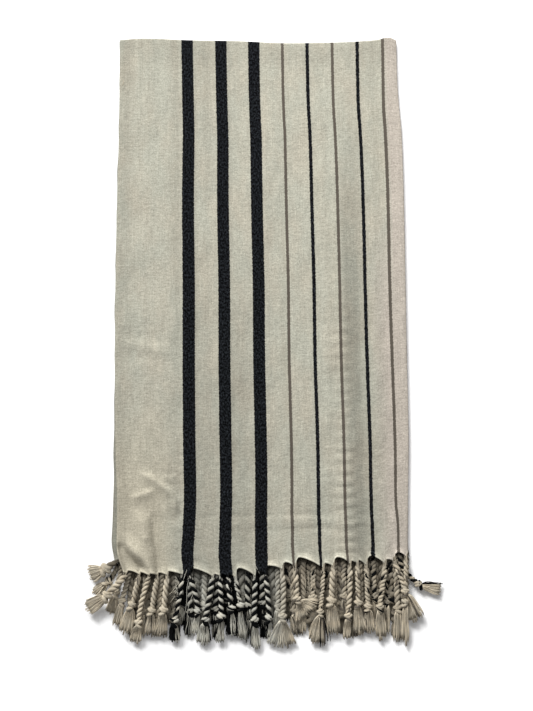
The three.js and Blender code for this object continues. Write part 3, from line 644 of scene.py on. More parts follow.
def on_cloth(t, s, height=0.0):
    """A place on the folded cloth, from its distances across and along the cut and above its middle."""
    shape = np.broadcast(t, s, height).shape
    t, s, height = (np.broadcast_to(v, shape or (1,)).astype(float) for v in (t, s, height))
    angle = np.clip((t - WRAP_START) / TURNED_EDGE_RADIUS, 0, math.pi)
    reach = TURNED_EDGE_RADIUS + height
    across = np.where(t < WRAP_END, WRAP_START + reach * np.sin(angle), CUT_WIDTH - t)
    across = np.where(t <= WRAP_START, t, across)
    level = reach * np.cos(angle)

    turn = np.clip((s - TURN_START) / TOP_FOLD_RADIUS, 0, math.pi)
    radius = TOP_FOLD_RADIUS + level
    along = np.where(s < TURN_END, TURN_START + radius * np.sin(turn), CUT_LENGTH - s)
    along = np.where(s <= TURN_START, s, along)
    z = STACK_MIDDLE + radius * np.cos(turn)
    middle = STACK_MIDDLE + (TOP_FOLD_RADIUS + TURNED_EDGE_RADIUS * np.cos(angle)) * np.cos(turn)
    share = np.clip(np.cos(angle), 0, 1) * np.clip(np.cos(turn), 0, 1)

    aside, pulled, up = np.zeros((3, *t.shape))
    first_half, upper = t <= WRAP_START, s <= TURN_START
    for layer, on in (
        ("front", first_half & upper),
        ("front_inner", ~first_half & upper & (angle >= math.pi)),
        ("back_inner", ~first_half & ~upper & (angle >= math.pi)),
        ("back", first_half & ~upper),
    ):
        aside[on], pulled[on], up[on] = gathered(layer, across[on], along[on])

    hanging = np.where(upper, 1, smoothstep(along, TURN_START - 0.15, TURN_START)) * first_half
    across = across + aside
    plain_x, plain_y = across - PANEL_WIDTH / 2, along - PANEL_LENGTH / 2
    top = curve_through(SELVEDGE, plain_y, 1)
    under = curve_through(SELVEDGE, plain_y, 2)
    uneven = 0.0009 * np.sin(plain_y / 0.037 + 900 * middle) + 0.0005 * np.sin(plain_y / 0.013)
    left = under + (top - under) * share + uneven * (1 - share)
    low = curve_through(FRINGE_LINE, plain_x)
    high = curve_through(TOP_FOLD, plain_x)
    y = low + (high - low) * along / PANEL_LENGTH + pulled
    right = curve_through(TURNED_EDGE, plain_y)
    x = left + (right - left) * across / PANEL_WIDTH
    x = x + warp_drift(across, plain_y) * hanging

    weight = np.clip(middle / TOP_LAYER_HEIGHT, 0, 1)
    fade = smoothstep(right - x, 0, 0.034) * smoothstep(high - y, 0, 0.017)
    raised = relief(x, y, across, plain_y, weight, fade)
    calm = smoothstep(right - x, -0.001, 0.02) * smoothstep(high - y, -0.001, 0.02)
    z = z * (1 - 0.22 * bell(across, 0.022))
    z = z + raised + undulation(x, y) * weight * calm + up * weight
    return np.stack([x, y, z], axis=-1).reshape(*shape, 3)


def steps(low, high, size):
    """Even values from low to high, no further apart than about size."""
    return np.linspace(low, high, max(1, round((high - low) / size)) + 1)


def join_steps(*runs):
    return np.concatenate([runs[0], *(run[1:] for run in runs[1:])])


def cloth_lines():
    """Grid lines of the cut: close together on the panel that shows, and set on its tassels' roots."""
    front = np.sort([across_of(row[0], True) for row in FRONT_TASSELS])
    marks = [0, *front, WRAP_START]
    half = [
        steps(a, b, STEP_NEAR_SELVEDGE if b < NEAR_SELVEDGE else STEP_ACROSS)
        for a, b in zip(marks, marks[1:])
    ]
    wrap = np.linspace(WRAP_START, WRAP_END, WRAP_LINES)
    hidden = CUT_WIDTH - np.sort([across_of(row[0], False) for row in FRONT_INNER_TASSELS[1:]])[::-1]
    marks = [WRAP_END, *hidden, CUT_WIDTH]
    rest = [steps(a, b, STEP_HIDDEN) for a, b in zip(marks, marks[1:])]
    return join_steps(*half, wrap, *rest), join_steps(*(steps(*run) for run in LENGTHWISE_GRID))


def mesh_object(name, points, quads, triangles=(), uv_name="cut", uv=None, dye=None):
    """An object from arrays of points and faces, with a UV and a dye for the faces' corners."""
    quads = np.asarray(quads, np.int32).reshape(-1, 4)
    triangles = np.asarray(triangles, np.int32).reshape(-1, 3)
    corners = np.concatenate([quads.ravel(), triangles.ravel()])
    after_quads = quads.size + 3 * np.arange(len(triangles))
    starts = np.concatenate([4 * np.arange(len(quads)), after_quads])
    mesh = bpy.data.meshes.new(name)
    mesh.vertices.add(len(points))
    mesh.vertices.foreach_set("co", np.asarray(points, np.float32).ravel())
    mesh.loops.add(len(corners))
    mesh.loops.foreach_set("vertex_index", corners.astype(np.int32))
    mesh.polygons.add(len(starts))
    mesh.polygons.foreach_set("loop_start", starts.astype(np.int32))
    mesh.polygons.foreach_set("use_smooth", np.ones(len(starts), bool))
    mesh.update(calc_edges=True)
    if uv is not None:
        layer = mesh.uv_layers.new(name=uv_name)
        layer.uv.foreach_set("vector", np.asarray(uv, np.float32).ravel())
    if dye is not None:
        layer = mesh.attributes.new("dye", "FLOAT_COLOR", "CORNER")
        layer.data.foreach_set("color", np.asarray(dye, np.float32).ravel())
    if mesh.validate():
        raise RuntimeError(f"{name} has faces that don't hold together")
    made = bpy.data.objects.new(name, mesh)
    bpy.context.scene.collection.objects.link(made)
    return made


def sheet_mesh(name, across, along, thickness):
    """The whole cut as one closed thin sheet over its grid lines."""
    t, s = np.meshgrid(across, along)
    sides = [on_cloth(t, s, side * thickness / 2) for side in (1, -1)]
    points = np.concatenate([side.reshape(-1, 3) for side in sides])
    flat = np.stack([t, s], axis=-1).reshape(-1, 2)
    flat = np.concatenate([flat, flat])
    rows, columns = t.shape
    at = np.arange(rows * columns).reshape(rows, columns)
    under = at + rows * columns

    def ring(a, b, c, d):
        return np.stack([a, b, c, d], axis=-1).reshape(-1, 4)

    faces = [
        ring(at[:-1, :-1], at[:-1, 1:], at[1:, 1:], at[1:, :-1]),
        ring(under[:-1, :-1], under[1:, :-1], under[1:, 1:], under[:-1, 1:]),
        ring(at[:-1, 0], at[1:, 0], under[1:, 0], under[:-1, 0]),
        ring(at[1:, -1], at[:-1, -1], under[:-1, -1], under[1:, -1]),
        ring(at[0, 1:], at[0, :-1], under[0, :-1], under[0, 1:]),
        ring(at[-1, :-1], at[-1, 1:], under[-1, 1:], under[-1, :-1]),
    ]
    quads = np.concatenate(faces)
    return mesh_object(name, points, quads, uv_name="cut", uv=flat[quads.ravel()])


def unit(vectors):
    return vectors / np.maximum(np.linalg.norm(vectors, axis=-1, keepdims=True), 1e-9)


class YarnBundle:
    """Gathers closed tubes of yarn and makes one mesh of them."""

    def __init__(self):
        self.points, self.quads, self.triangles = [], [], []
        self.uv, self.dye, self.cap_uv, self.cap_dye = [], [], [], []
        self.count = 0

    def add(self, paths, radii, sides, around, dyes, tone, lobes=0.0, turn=0.0, squash=None):
        """Tubes along paths (tube, point, xyz), with rings square to them and measured from around.

        dyes gives black and brown for each tube and side, tone the lightness of each point. squash is a
        height for each point and how much the ring keeps of its own height from there."""
        paths = np.asarray(paths, float)
        tubes, rings = paths.shape[:2]
        radii = np.broadcast_to(radii, (tubes, rings))
        tangent = unit(np.gradient(paths, axis=1))
        side = unit(np.cross(np.broadcast_to(around, paths.shape), tangent))
        over = np.cross(tangent, side)
        angle = 2 * math.pi * np.arange(sides) / sides
        angle = angle + np.broadcast_to(turn, (tubes, rings))[..., None]
        reach = radii[..., None] * (1 + lobes * np.where(np.arange(sides) % 2, -1, 1))
        ring = (reach * np.cos(angle))[..., None] * side[:, :, None]
        ring = ring + (reach * np.sin(angle))[..., None] * over[:, :, None] + paths[:, :, None]
        ends = paths[:, [0, -1]]
        if squash is not None:
            height, kept = squash
            height = np.broadcast_to(height, (tubes, rings))
            ring[..., 2] = height[..., None] + (ring[..., 2] - height[..., None]) * kept
            ends[..., 2] = height[:, [0, -1]] + (ends[..., 2] - height[:, [0, -1]]) * kept
        ring[..., 2] = np.maximum(ring[..., 2], LOWEST)
        ends[..., 2] = np.maximum(ends[..., 2], LOWEST)
        each = rings * sides + 2
        block = np.concatenate([ring.reshape(tubes, -1, 3), ends], axis=1)
        first = self.count + each * np.arange(tubes)[:, None, None]
        i, k = np.meshgrid(np.arange(rings - 1), np.arange(sides), indexing="ij")
        after = (k + 1) % sides
        corners = (i * sides + k, i * sides + after, (i + 1) * sides + after, (i + 1) * sides + k)
        self.quads.append(np.stack([first + c for c in corners], axis=-1).reshape(-1, 4))
        k, after = k[0], after[0]
        last = (rings - 1) * sides
        first = first[:, 0]
        start_cap = (first + each - 2 + 0 * k, first + after, first + k)
        end_cap = (first + each - 1 + 0 * k, first + last + k, first + last + after)
        caps = np.stack([np.stack(cap, axis=-1) for cap in (start_cap, end_cap)], axis=1)
        self.triangles.append(caps.reshape(-1, 3))
        self.points.append(block.reshape(-1, 3))
        self.count += tubes * each
        self.add_corners(paths, sides, dyes, tone)

    def add_corners(self, paths, sides, dyes, tone):
        """UV and dye for the corners of the tubes' sides and caps."""
        tubes, rings = paths.shape[:2]
        travelled = np.linalg.norm(np.diff(paths, axis=1), axis=-1).cumsum(axis=1)
        travelled = np.concatenate([np.zeros((tubes, 1)), travelled], axis=1)
        low, high = travelled[:, :-1, None], travelled[:, 1:, None]
        v = np.arange(sides) / sides
        u = np.stack([low + 0 * v, low + 0 * v, high + 0 * v, high + 0 * v], axis=-1)
        v = np.broadcast_to(np.stack([v, v + 1 / sides, v + 1 / sides, v], axis=-1), u.shape)
        self.uv.append(np.stack([u, v], axis=-1).reshape(-1, 2))
        tone = np.broadcast_to(np.reshape(tone, (-1, 1)) if np.ndim(tone) == 1 else tone, (tubes, rings))
        colour = np.ones((tubes, rings - 1, sides, 4, 4))
        colour[..., :2] = np.broadcast_to(dyes, (tubes, sides, 2))[:, None, :, None]
        # The third channel is the tone: the yarns' random tone with the painted shade and light of layers,
        # roots and brushes
        colour[..., :2, 2], colour[..., 2:, 2] = tone[:, :-1, None, None], tone[:, 1:, None, None]
        colour[..., 2] /= LIGHTEST_TONE
        self.dye.append(colour.reshape(-1, 4))
        self.cap_dye.append(colour[:, [0, -1], :, :3].reshape(-1, 4))
        ends = np.broadcast_to(travelled[:, [0, -1], None, None], (tubes, 2, sides, 3))
        self.cap_uv.append(np.stack([ends, 0 * ends], axis=-1).reshape(-1, 2))

    def make(self, name):
        return mesh_object(
            name,
            np.concatenate(self.points),
            np.concatenate(self.quads),
            np.concatenate(self.triangles),
            uv_name="yarn",
            uv=np.concatenate(self.uv + self.cap_uv),
            dye=np.concatenate(self.dye + self.cap_dye),
        )


def level_step(y):
    u = smoothstep(-y, THINNING_FROM, THINNING_TO)
    return LEVEL_STEP + (LEVEL_STEP_AT_TIPS - LEVEL_STEP) * u


# How each layer's tassels lie: level above the floor, height kept of a round rope, yarns in a brush,
# sides of a ply, the darkest and lightest tone of its yarns, lower on the lower layers as painted shade,
# how much of it they keep at the root, painted shade under the cloth's edge, and how much lighter the
# brushes are, painted light
LAYERS = {
    "front": {
        "level": 2, "kept": 0.88, "yarns": 56, "sides": 10, "tone": (0.62, 0.90), "root": 0.56, "tips": 0.20,
    },
    "front_inner": {
        "level": 1, "kept": 0.52, "yarns": 38, "sides": 10, "tone": (0.38, 0.70), "root": 0.05, "tips": 0.26,
    },
    "back_inner": {
        "level": 0, "kept": 0.50, "yarns": 24, "sides": 8, "tone": (0.08, 0.28), "root": 0.04, "tips": 0.36,
    },
    "back": {
        "level": 0, "kept": 0.50, "yarns": 24, "sides": 8, "tone": (0.08, 0.28), "root": 0.04, "tips": 0.36,
    },
}


# The direction from which the sides of most tubes are counted
UP = (0, 0, 1)

# Between which x of their knots the lower layers' tassels are in the shade of the front ones
SHADED_FROM = -0.243
SHADED_TO = 0.255

# Sizes of a tassel's rope, knot and brush, the radii before its own thickness
ROPE_GAP = 0.0012
ROPE_STEP = 0.0021
ROPE_ENDS_BEFORE_KNOT = 0.002
STRAND_PITCH = 0.026
KNOT_TURN_RADIUS = 0.0050
KNOT_PLY_RADIUS = 0.0028
BRUSH_ROOT_HALF = 0.0034
BRUSH_START = 0.0042
LOCK_WIDTH = 0.0042

# Loose yarns: points of a line, rounds that ease it, and how light they are
LOOSE_YARN_POINTS = 16
LOOSE_YARN_ROUNDS = 5
LOOSE_YARN_TONE = 0.95

# The front layer's seed; each of the others has the next
FIRST_SEED = 11


def strand_dyes(letters, sides):
    """Black and brown of each side of a ply, two sides to a strand."""
    return np.array([DYES[letters[(k // 2) % len(letters)]] for k in range(sides)])


def edge_place(layer, across, back=0.0):
    """A place on the fringed edge of a layer, a little way back from the edge."""
    upper = layer in ("front", "front_inner")
    return on_cloth(cut_place(layer, across), back if upper else CUT_LENGTH - back)


def cut_place(layer, across):
    """Distance across the cut of a place on a layer."""
    return across if layer in ("front", "back") else CUT_WIDTH - across


class Tassel:
    """Places, sizes and dyes of one tassel, from its row in the table of its layer."""

    def __init__(self, layer, row, sizes):
        root_x, knot_x, knot_y, tip_x, tip_y, self.bow, self.brush = row[:7]
        self.twist, self.thick, *self.plies, self.fan = row[7:]
        self.layer, self.way, self.on_top = layer, LAYERS[layer], layer == "front"
        self.middle = max(ROOT_MARGIN, across_of(root_x, self.on_top))
        self.knot, self.tip = np.array([knot_x, knot_y]), np.array([tip_x, tip_y])
        shaded = SHADED_FROM < knot_x < SHADED_TO
        self.tone = LAYERS[layer if shaded else "front"]["tone"]
        self.radius = sizes.ply_radius * self.thick
        self.yarn_radius = sizes.yarn_radius
        self.rope_pitch = sizes.rope_pitch
        self.rope_height = 4 * self.radius * self.way["kept"]
        self.brush_height = np.minimum(0.0052 if self.on_top else 0.0040, self.rope_height)
        self.brush_root = BRUSH_ROOT_HALF * self.thick
        self.reach = np.linalg.norm(self.tip - self.knot)
        self.ahead = (self.tip - self.knot) / self.reach
        self.beside = np.array([-self.ahead[1], self.ahead[0]])


def rope_line(tassel):
    """The middle of a tassel's rope from its root to its knot: points, and their distances from the root."""
    root = edge_place(tassel.layer, tassel.middle)
    start = root[:2] + [0, -ROPE_GAP]
    bowed = (start + tassel.knot) / 2 + np.array([2 * tassel.bow, 0])
    plan = bezier(start, bowed, tassel.knot, np.linspace(0, 1, 34)[:, None])
    travelled = np.concatenate([[0], np.linalg.norm(np.diff(plan, axis=0), axis=1).cumsum()])
    risen = smoothstep(travelled, 0, ROOT_RISE)
    z = root[2] + (rest_height(tassel.layer, plan[:, 1], tassel.rope_height) - root[2]) * risen
    line = np.column_stack([plan, z])
    length = travelled[-1]
    at = np.linspace(0.0, length - ROPE_ENDS_BEFORE_KNOT, max(12, round(length / ROPE_STEP)))
    return np.column_stack([np.interp(at, travelled, line[:, axis]) for axis in range(3)]), at


def rest_height(layer, y, height):
    return FLOOR_CLEARANCE + LAYERS[layer]["level"] * level_step(y) + height / 2


def add_rope(bundle, tassel, line, at, chance):
    """Two plies twisted round the rope's middle, with painted shade towards the root. Gives the tones of the
    plies.
    """
    kept, sides, darkest = tassel.way["kept"], tassel.way["sides"], tassel.way["root"]
    along = unit(np.gradient(line, axis=0))
    aside = unit(np.column_stack([-along[:, 1], along[:, 0], 0 * at]))
    above = -np.cross(aside, along)
    above[above[:, 2] < 0] *= -1
    grown = 0.66 + 0.34 * smoothstep(at, 0, 0.007)
    tighter = 0.78 if "k" in "".join(tassel.plies) else 1.0
    pitch = tassel.rope_pitch * chance.uniform(0.88, 1.12) * tassel.thick * tighter
    start = chance.uniform(0, 2 * math.pi)
    uneven = chance.uniform(0.25, 0.60) * np.sin(at / chance.uniform(0.006, 0.011) + start)
    phase = start + tassel.twist * 2 * math.pi * at / pitch + uneven
    tones = chance.uniform(*tassel.tone, 2)
    lit = darkest + (1 - darkest) * smoothstep(at, 0.001, 0.016 if tassel.on_top else 0.042)
    wander = 0.94 * tassel.radius * grown[:, None]
    size = tassel.radius * grown * (1 + 0.05 * np.sin(at / 0.0031 + start))
    spin = -tassel.twist * 2 * math.pi * at / STRAND_PITCH
    for ply, letters in enumerate(tassel.plies):
        angle = (phase + ply * math.pi)[:, None]
        path = line + wander * (np.cos(angle) * aside + np.sin(angle) * above)
        bundle.add(
            path[None], size[None], sides, UP, strand_dyes(letters, sides)[None],
            (tones[ply] * lit)[None], lobes=0.09, turn=spin[None], squash=(line[:, 2][None], kept),
        )
    return tones


def add_gathered_yarns(bundle, tassel, line, gap, chance):
    """Yarns that run from the cloth's edge into the rope."""
    spread = np.linspace(-0.20, 0.20, 5) if tassel.on_top else np.linspace(-0.47, 0.47, 13)
    spread = spread + chance.uniform(-0.03, 0.03, len(spread))
    starts_at = np.clip(tassel.middle + spread * gap, 0.0008, WRAP_START - 0.0005)
    inside = edge_place(tassel.layer, starts_at, 0.0006) - [0, 0, 0.0006]
    into = min(len(line) - 1, 6)
    goal = line[into] + np.column_stack([0.5 * spread, 0 * spread, 0 * spread]) * tassel.radius * 4
    goal[:, 2] += 0.3 * tassel.radius
    bend = line[2][None] * 0.5 + inside * 0.5
    u = np.linspace(0, 1, 7)[None, :, None]
    paths = bezier(inside[:, None], bend[:, None], goal[:, None], u)
    places = [cut_place(tassel.layer, across) for across in starts_at]
    dyes = np.array([DYES[dyes_near(place, 0.0001)[0]] for place in places])
    radii = tassel.yarn_radius * 1.5 * np.array([0.7, 1, 1, 1, 1, 0.9, 0.6])
    # Painted shade: these yarns take the layer's darkening at the root
    tones = chance.uniform(*tassel.way["tone"], len(dyes)) * tassel.way["root"]
    bundle.add(paths, radii[None], 6, UP, dyes[:, None], tones)


def add_knot(bundle, tassel, line, tones, chance):
    """The knot: both plies turn once round the rope. Gives the place of its middle."""
    sides = tassel.way["sides"]
    rope_end = unit(np.gradient(line, axis=0))[-1]
    down = unit(np.append(tassel.tip - tassel.knot, 0.0) + 1.2 * rope_end)
    wide = np.array([-down[1], down[0], 0.0])
    kept = 0.74 if tassel.on_top else 0.36
    size = tassel.thick * chance.uniform(0.9, 1.12)
    height = 2 * kept * (KNOT_TURN_RADIUS + KNOT_PLY_RADIUS) * size
    knot = np.append(tassel.knot, rest_height(tassel.layer, tassel.knot[1], height))
    lean = chance.uniform(0.8, 1.3) * tassel.twist
    swing = chance.uniform(-0.4, 0.4)
    turns = np.linspace(-0.12, 1.12, 22)
    angle = 2 * math.pi * turns * tassel.twist + swing + 0.5 * math.pi
    tuck = 1 - 0.75 * (smoothstep(-turns, 0, 0.12) + smoothstep(turns, 1.0, 1.12))
    reach = KNOT_TURN_RADIUS * size * tuck
    for ply, letters in enumerate(tassel.plies):
        drift = (ply - 0.5) * 0.0044 * size + (turns - 0.5) * 0.0036
        drift = drift + (0.0034 if ply else -0.0020) * lean * np.cos(angle)
        path = knot + drift[:, None] * down
        path = path + (reach * np.cos(angle))[:, None] * wide
        path = path + (reach * np.sin(angle))[:, None] * np.array(UP)
        bundle.add(
            path[None], np.full((1, len(turns)), KNOT_PLY_RADIUS * size), sides, down,
            strand_dyes(letters, sides)[None], tones[ply], lobes=0.08,
            turn=(turns * 3)[None], squash=(knot[2], kept),
        )
    return knot


def part_of(u, count):
    """In which of a brush's equal parts a place lies, from -1 at one side to 1 at the other."""
    return np.floor((u + 1) / 2 * count).clip(0, count - 1).astype(int)


def brush_yarns(tassel, chance):
    """Plan of a brush's yarns in locks: place in the width, distances ahead and aside, waves and starts."""
    brush, narrow = tassel.brush, tassel.brush_root
    fuller = 0.60 + 0.32 * brush / 0.018 + (0.55 if brush > 0.040 else 0.0)
    number = round(tassel.way["yarns"] * fuller)
    u = np.linspace(-1, 1, number) + chance.uniform(-0.5, 0.5, number) / number
    locks = max(3, round(brush / LOCK_WIDTH))
    lock = part_of(u, locks)
    lock_middle = (lock + 0.5) / locks * 2 - 1
    lock_middle = lock_middle + chance.uniform(-0.5, 0.5, locks)[lock] / locks
    lock_length = chance.uniform(-0.08, 0.05, locks)[lock]
    w = np.linspace(0, 1, 8)[None, :]
    wide_at = narrow + (brush / 2 - narrow) * w ** np.interp(brush, (0.036, 0.052), (0.55, 0.90))
    inwards = 1 - 0.68 * w**1.6
    lateral = (lock_middle[:, None] + (u - lock_middle)[:, None] * inwards) * wide_at
    wave = chance.uniform(0.7, 1.6, (number, 1))
    begin = chance.uniform(0, 2 * math.pi, (number, 1))
    sway = chance.uniform(0.0003, 0.0013, (number, 1))
    lateral = lateral + sway * np.sin(2 * math.pi * wave * w + begin) * w**0.5
    ends = tassel.reach * (1.0 + lock_length + chance.uniform(-0.03, 0.02, number))
    ends = ends * (1 - 0.16 * np.abs(u) ** 2.5)
    forward = BRUSH_START + (ends[:, None] - BRUSH_START) * w
    return u, w, forward, lateral, wave, begin


def add_brush(bundle, tassel, knot, chance):
    """The brush: locks of loose yarns that spread from the knot."""
    u, w, forward, lateral, wave, begin = brush_yarns(tassel, chance)
    number = len(u)
    depth = chance.uniform(-1, 1, (number, 1))
    plan = knot[:2] + forward[..., None] * tassel.ahead + lateral[..., None] * tassel.beside
    thin = (0.9 - 0.45 * w) * tassel.brush_height / 2
    below = rest_height(tassel.layer, plan[..., 1], 1.4 * thin)
    leave = knot[2] + (below - knot[2]) * smoothstep(w, 0.0, 0.45)
    height = leave + depth * thin * (0.75 + 0.25 * np.sin(2 * math.pi * w * wave + 2 * begin))
    height = np.maximum(height, tassel.yarn_radius + 0.0002)
    paths = np.concatenate([plan, height[..., None]], axis=-1)
    fan = tassel.fan
    letters = [
        fan[k] if chance.random() > 0.12 else fan[chance.integers(len(fan))] for k in part_of(u, len(fan))
    ]
    dyes = np.array([DYES[letter] for letter in letters])
    thickness = tassel.yarn_radius * chance.uniform(0.95, 1.40, (number, 1))
    thickness = thickness * np.array([1.25, 1.15, 1.05, 1, 1, 0.95, 0.85, 0.5])[None, :]
    # Painted light: the brushes are lighter than the ropes by the layer's tips
    tones = chance.uniform(0.95 * tassel.tone[0], 1.45 * tassel.tone[1], number) + tassel.way["tips"]
    bundle.add(paths, thickness, 5, UP, dyes[:, None], tones)


def add_brush_core(bundle, tassel, knot):
    """The soft middle of the brush, under its loose yarns."""
    brush, narrow = tassel.brush, tassel.brush_root
    w = np.linspace(0, 0.93, 6)
    core = knot[:2] + (0.003 + (tassel.reach * 0.95 - 0.003) * w)[:, None] * tassel.ahead
    thin = 0.30 * tassel.brush_height * (1 - 0.5 * w)
    level = rest_height(tassel.layer, core[:, 1], 1.2 * thin)
    z = knot[2] + (level - knot[2]) * smoothstep(w, 0, 0.5)
    size = (0.42 * narrow + (0.24 * min(brush, 0.028) - 0.42 * narrow) * w) * (1 - 0.55 * w**3)
    squash = (z[None], np.clip(thin / size, 0.1, 1).mean())
    commonest = max(sorted(set(tassel.fan)), key=tassel.fan.count)
    dye = np.array(DYES[commonest])[None, None]
    for share in (-0.5, 0, 0.5):
        across = share * (narrow + (brush / 2 - narrow) * w**0.75)
        line = np.column_stack([core + across[:, None] * tassel.beside, z])
        bundle.add(line[None], size[None], 8, UP, dye, 0.8 * tassel.tone[0], squash=squash)


def add_tassel(bundle, tassel, gap, chance):
    """One tassel: a rope of two plies, yarns gathered from the edge, its knot and its brush."""
    line, at = rope_line(tassel)
    tones = add_rope(bundle, tassel, line, at, chance)
    add_gathered_yarns(bundle, tassel, line, gap, chance)
    knot = add_knot(bundle, tassel, line, tones, chance)
    add_brush(bundle, tassel, knot, chance)
    add_brush_core(bundle, tassel, knot)


def yarn_piece(bundle, name):
    """The bundle's tubes as one piece of the fringes."""
    made = bundle.make(name)
    made.data.materials.append(yarn_material())
    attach(made, "root")
    return made


def add_loose_yarns(name, sizes):
    """Thin yarns that came loose and lie on the fringe and the cloth."""
    bundle = YarnBundle()
    for letter, size, places in LOOSE_YARNS:
        line = eased_line(places, LOOSE_YARN_POINTS, LOOSE_YARN_ROUNDS)
        thinner = np.sin(math.pi * np.linspace(0.12, 0.88, LOOSE_YARN_POINTS)) ** 0.5
        radii = sizes.yarn_radius * size * thinner
        bundle.add(line[None], radii[None], 6, UP, np.array(DYES[letter])[None, None], LOOSE_YARN_TONE)
    yarn_piece(bundle, name)


def add_fringe(name, layer, node, sizes, seed):
    """All tassels of one layer as one piece."""
    chance = np.random.default_rng(seed)
    bundle = YarnBundle()
    tassels, on_top = GATHERS[layer][:2]
    places = np.array([across_of(row[0], on_top) for row in tassels])
    for row, place in zip(tassels, places):
        gaps = np.sort(np.abs(places - place))
        gap = float(np.clip(gaps[1:3].mean(), 0.010, 0.026))
        add_tassel(bundle, Tassel(layer, row, sizes), gap, chance)
    made = yarn_piece(bundle, name)
    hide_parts(node)


# Shader nodes
def add_node(tree, kind, inputs=None, **settings):
    node = tree.nodes.new(kind)
    for name, value in settings.items():
        setattr(node, name, value)
    for key, value in (inputs or {}).items():
        if isinstance(value, bpy.types.NodeSocket):
            tree.links.new(value, node.inputs[key])
        else:
            node.inputs[key].default_value = value
    return node


def calculate(tree, operation, *values, clamp=False):
    node = add_node(tree, "ShaderNodeMath", dict(enumerate(values)), operation=operation, use_clamp=clamp)
    return node.outputs[0]


def product(tree, value, *others):
    """Values multiplied one after the other."""
    for other in others:
        value = calculate(tree, "MULTIPLY", value, other)
    return value


def distance(tree, value, place):
    return calculate(tree, "ABSOLUTE", calculate(tree, "SUBTRACT", value, place))


def lightened(tree, colour, factor):
    inputs = {0: colour, "Scale": factor}
    return add_node(tree, "ShaderNodeVectorMath", inputs, operation="SCALE").outputs[0]


def tinted(colour, red, green, blue):
    return (colour[0] * red, colour[1] * green, colour[2] * blue, 1.0)


def mix_colours(tree, factor, first, second, blend="MIX"):
    inputs = {0: factor, 6: first, 7: second}
    node = add_node(tree, "ShaderNodeMix", inputs, data_type="RGBA", blend_type=blend)
    return node.outputs[2]


def ramp_value(tree, value, low, high, to_low=0.0, to_high=1.0, smooth=False):
    inputs = {"Value": value, "From Min": low, "From Max": high, "To Min": to_low, "To Max": to_high}
    kind = "SMOOTHSTEP" if smooth else "LINEAR"
    return add_node(tree, "ShaderNodeMapRange", inputs, interpolation_type=kind).outputs[0]


def noise(tree, vector, stretch, detail=2.0, roughness=0.5):
    """Noise on a vector that is stretched first, as values about a half."""
    scaled = add_node(tree, "ShaderNodeVectorMath", {0: vector, 1: stretch}, operation="MULTIPLY")
    inputs = {"Vector": scaled.outputs[0], "Scale": 1.0, "Detail": detail, "Roughness": roughness}
    return add_node(tree, "ShaderNodeTexNoise", inputs).outputs["Fac"]


def new_group(name, inputs, outputs):
    """A shader node group with its named sockets, and its input and output nodes."""
    group = bpy.data.node_groups.new(name, "ShaderNodeTree")
    for label, kind in inputs:
        group.interface.new_socket(label, in_out="INPUT", socket_type=kind)
    for label, kind in outputs:
        group.interface.new_socket(label, in_out="OUTPUT", socket_type=kind)
    return group, group.nodes.new("NodeGroupInput"), group.nodes.new("NodeGroupOutput")


def warp_stripes():
    """Masks of the black and brown warp threads over the cut."""
    if "Warp stripes" in bpy.data.node_groups:
        return bpy.data.node_groups["Warp stripes"]
    tree, given, result = new_group(
        "Warp stripes", [("Across", "NodeSocketFloat")],
        [("Black", "NodeSocketFloat"), ("Brown", "NodeSocketFloat")],
    )
    across = given.outputs["Across"]
    nearer = calculate(tree, "MINIMUM", across, calculate(tree, "SUBTRACT", CUT_WIDTH, across))
    black = 0.0
    for stripe in WIDE_STRIPES:
        off = distance(tree, nearer, stripe)
        mask = ramp_value(tree, off, WIDE_STRIPE_HALF + STRIPE_SOFTNESS, WIDE_STRIPE_HALF - STRIPE_SOFTNESS)
        black = calculate(tree, "ADD", black, mask)
    steps_in = calculate(tree, "SUBTRACT", across, FIRST_THIN_STRIPE)
    steps_in = calculate(tree, "DIVIDE", steps_in, THIN_STRIPE_PITCH)
    nearest = calculate(tree, "ROUND", steps_in)
    odd = calculate(tree, "FLOORED_MODULO", nearest, 2.0)
    wider = (THIN_BLACK_HALF - THIN_STRIPE_HALF) / THIN_STRIPE_PITCH
    off = calculate(tree, "MULTIPLY_ADD", odd, -wider, distance(tree, steps_in, nearest))
    half = THIN_STRIPE_HALF / THIN_STRIPE_PITCH
    thin = ramp_value(tree, off, half + 0.008, half - 0.008)
    past_first = calculate(tree, "GREATER_THAN", across, FIRST_THIN_STRIPE - 0.01)
    before_last = calculate(tree, "LESS_THAN", across, THIN_STRIPES_END)
    thin = product(tree, thin, past_first, before_last)
    thin_black = product(tree, thin, odd)
    brown = calculate(tree, "SUBTRACT", thin, thin_black)
    tree.links.new(calculate(tree, "ADD", black, thin_black, clamp=True), result.inputs["Black"])
    tree.links.new(brown, result.inputs["Brown"])
    return tree


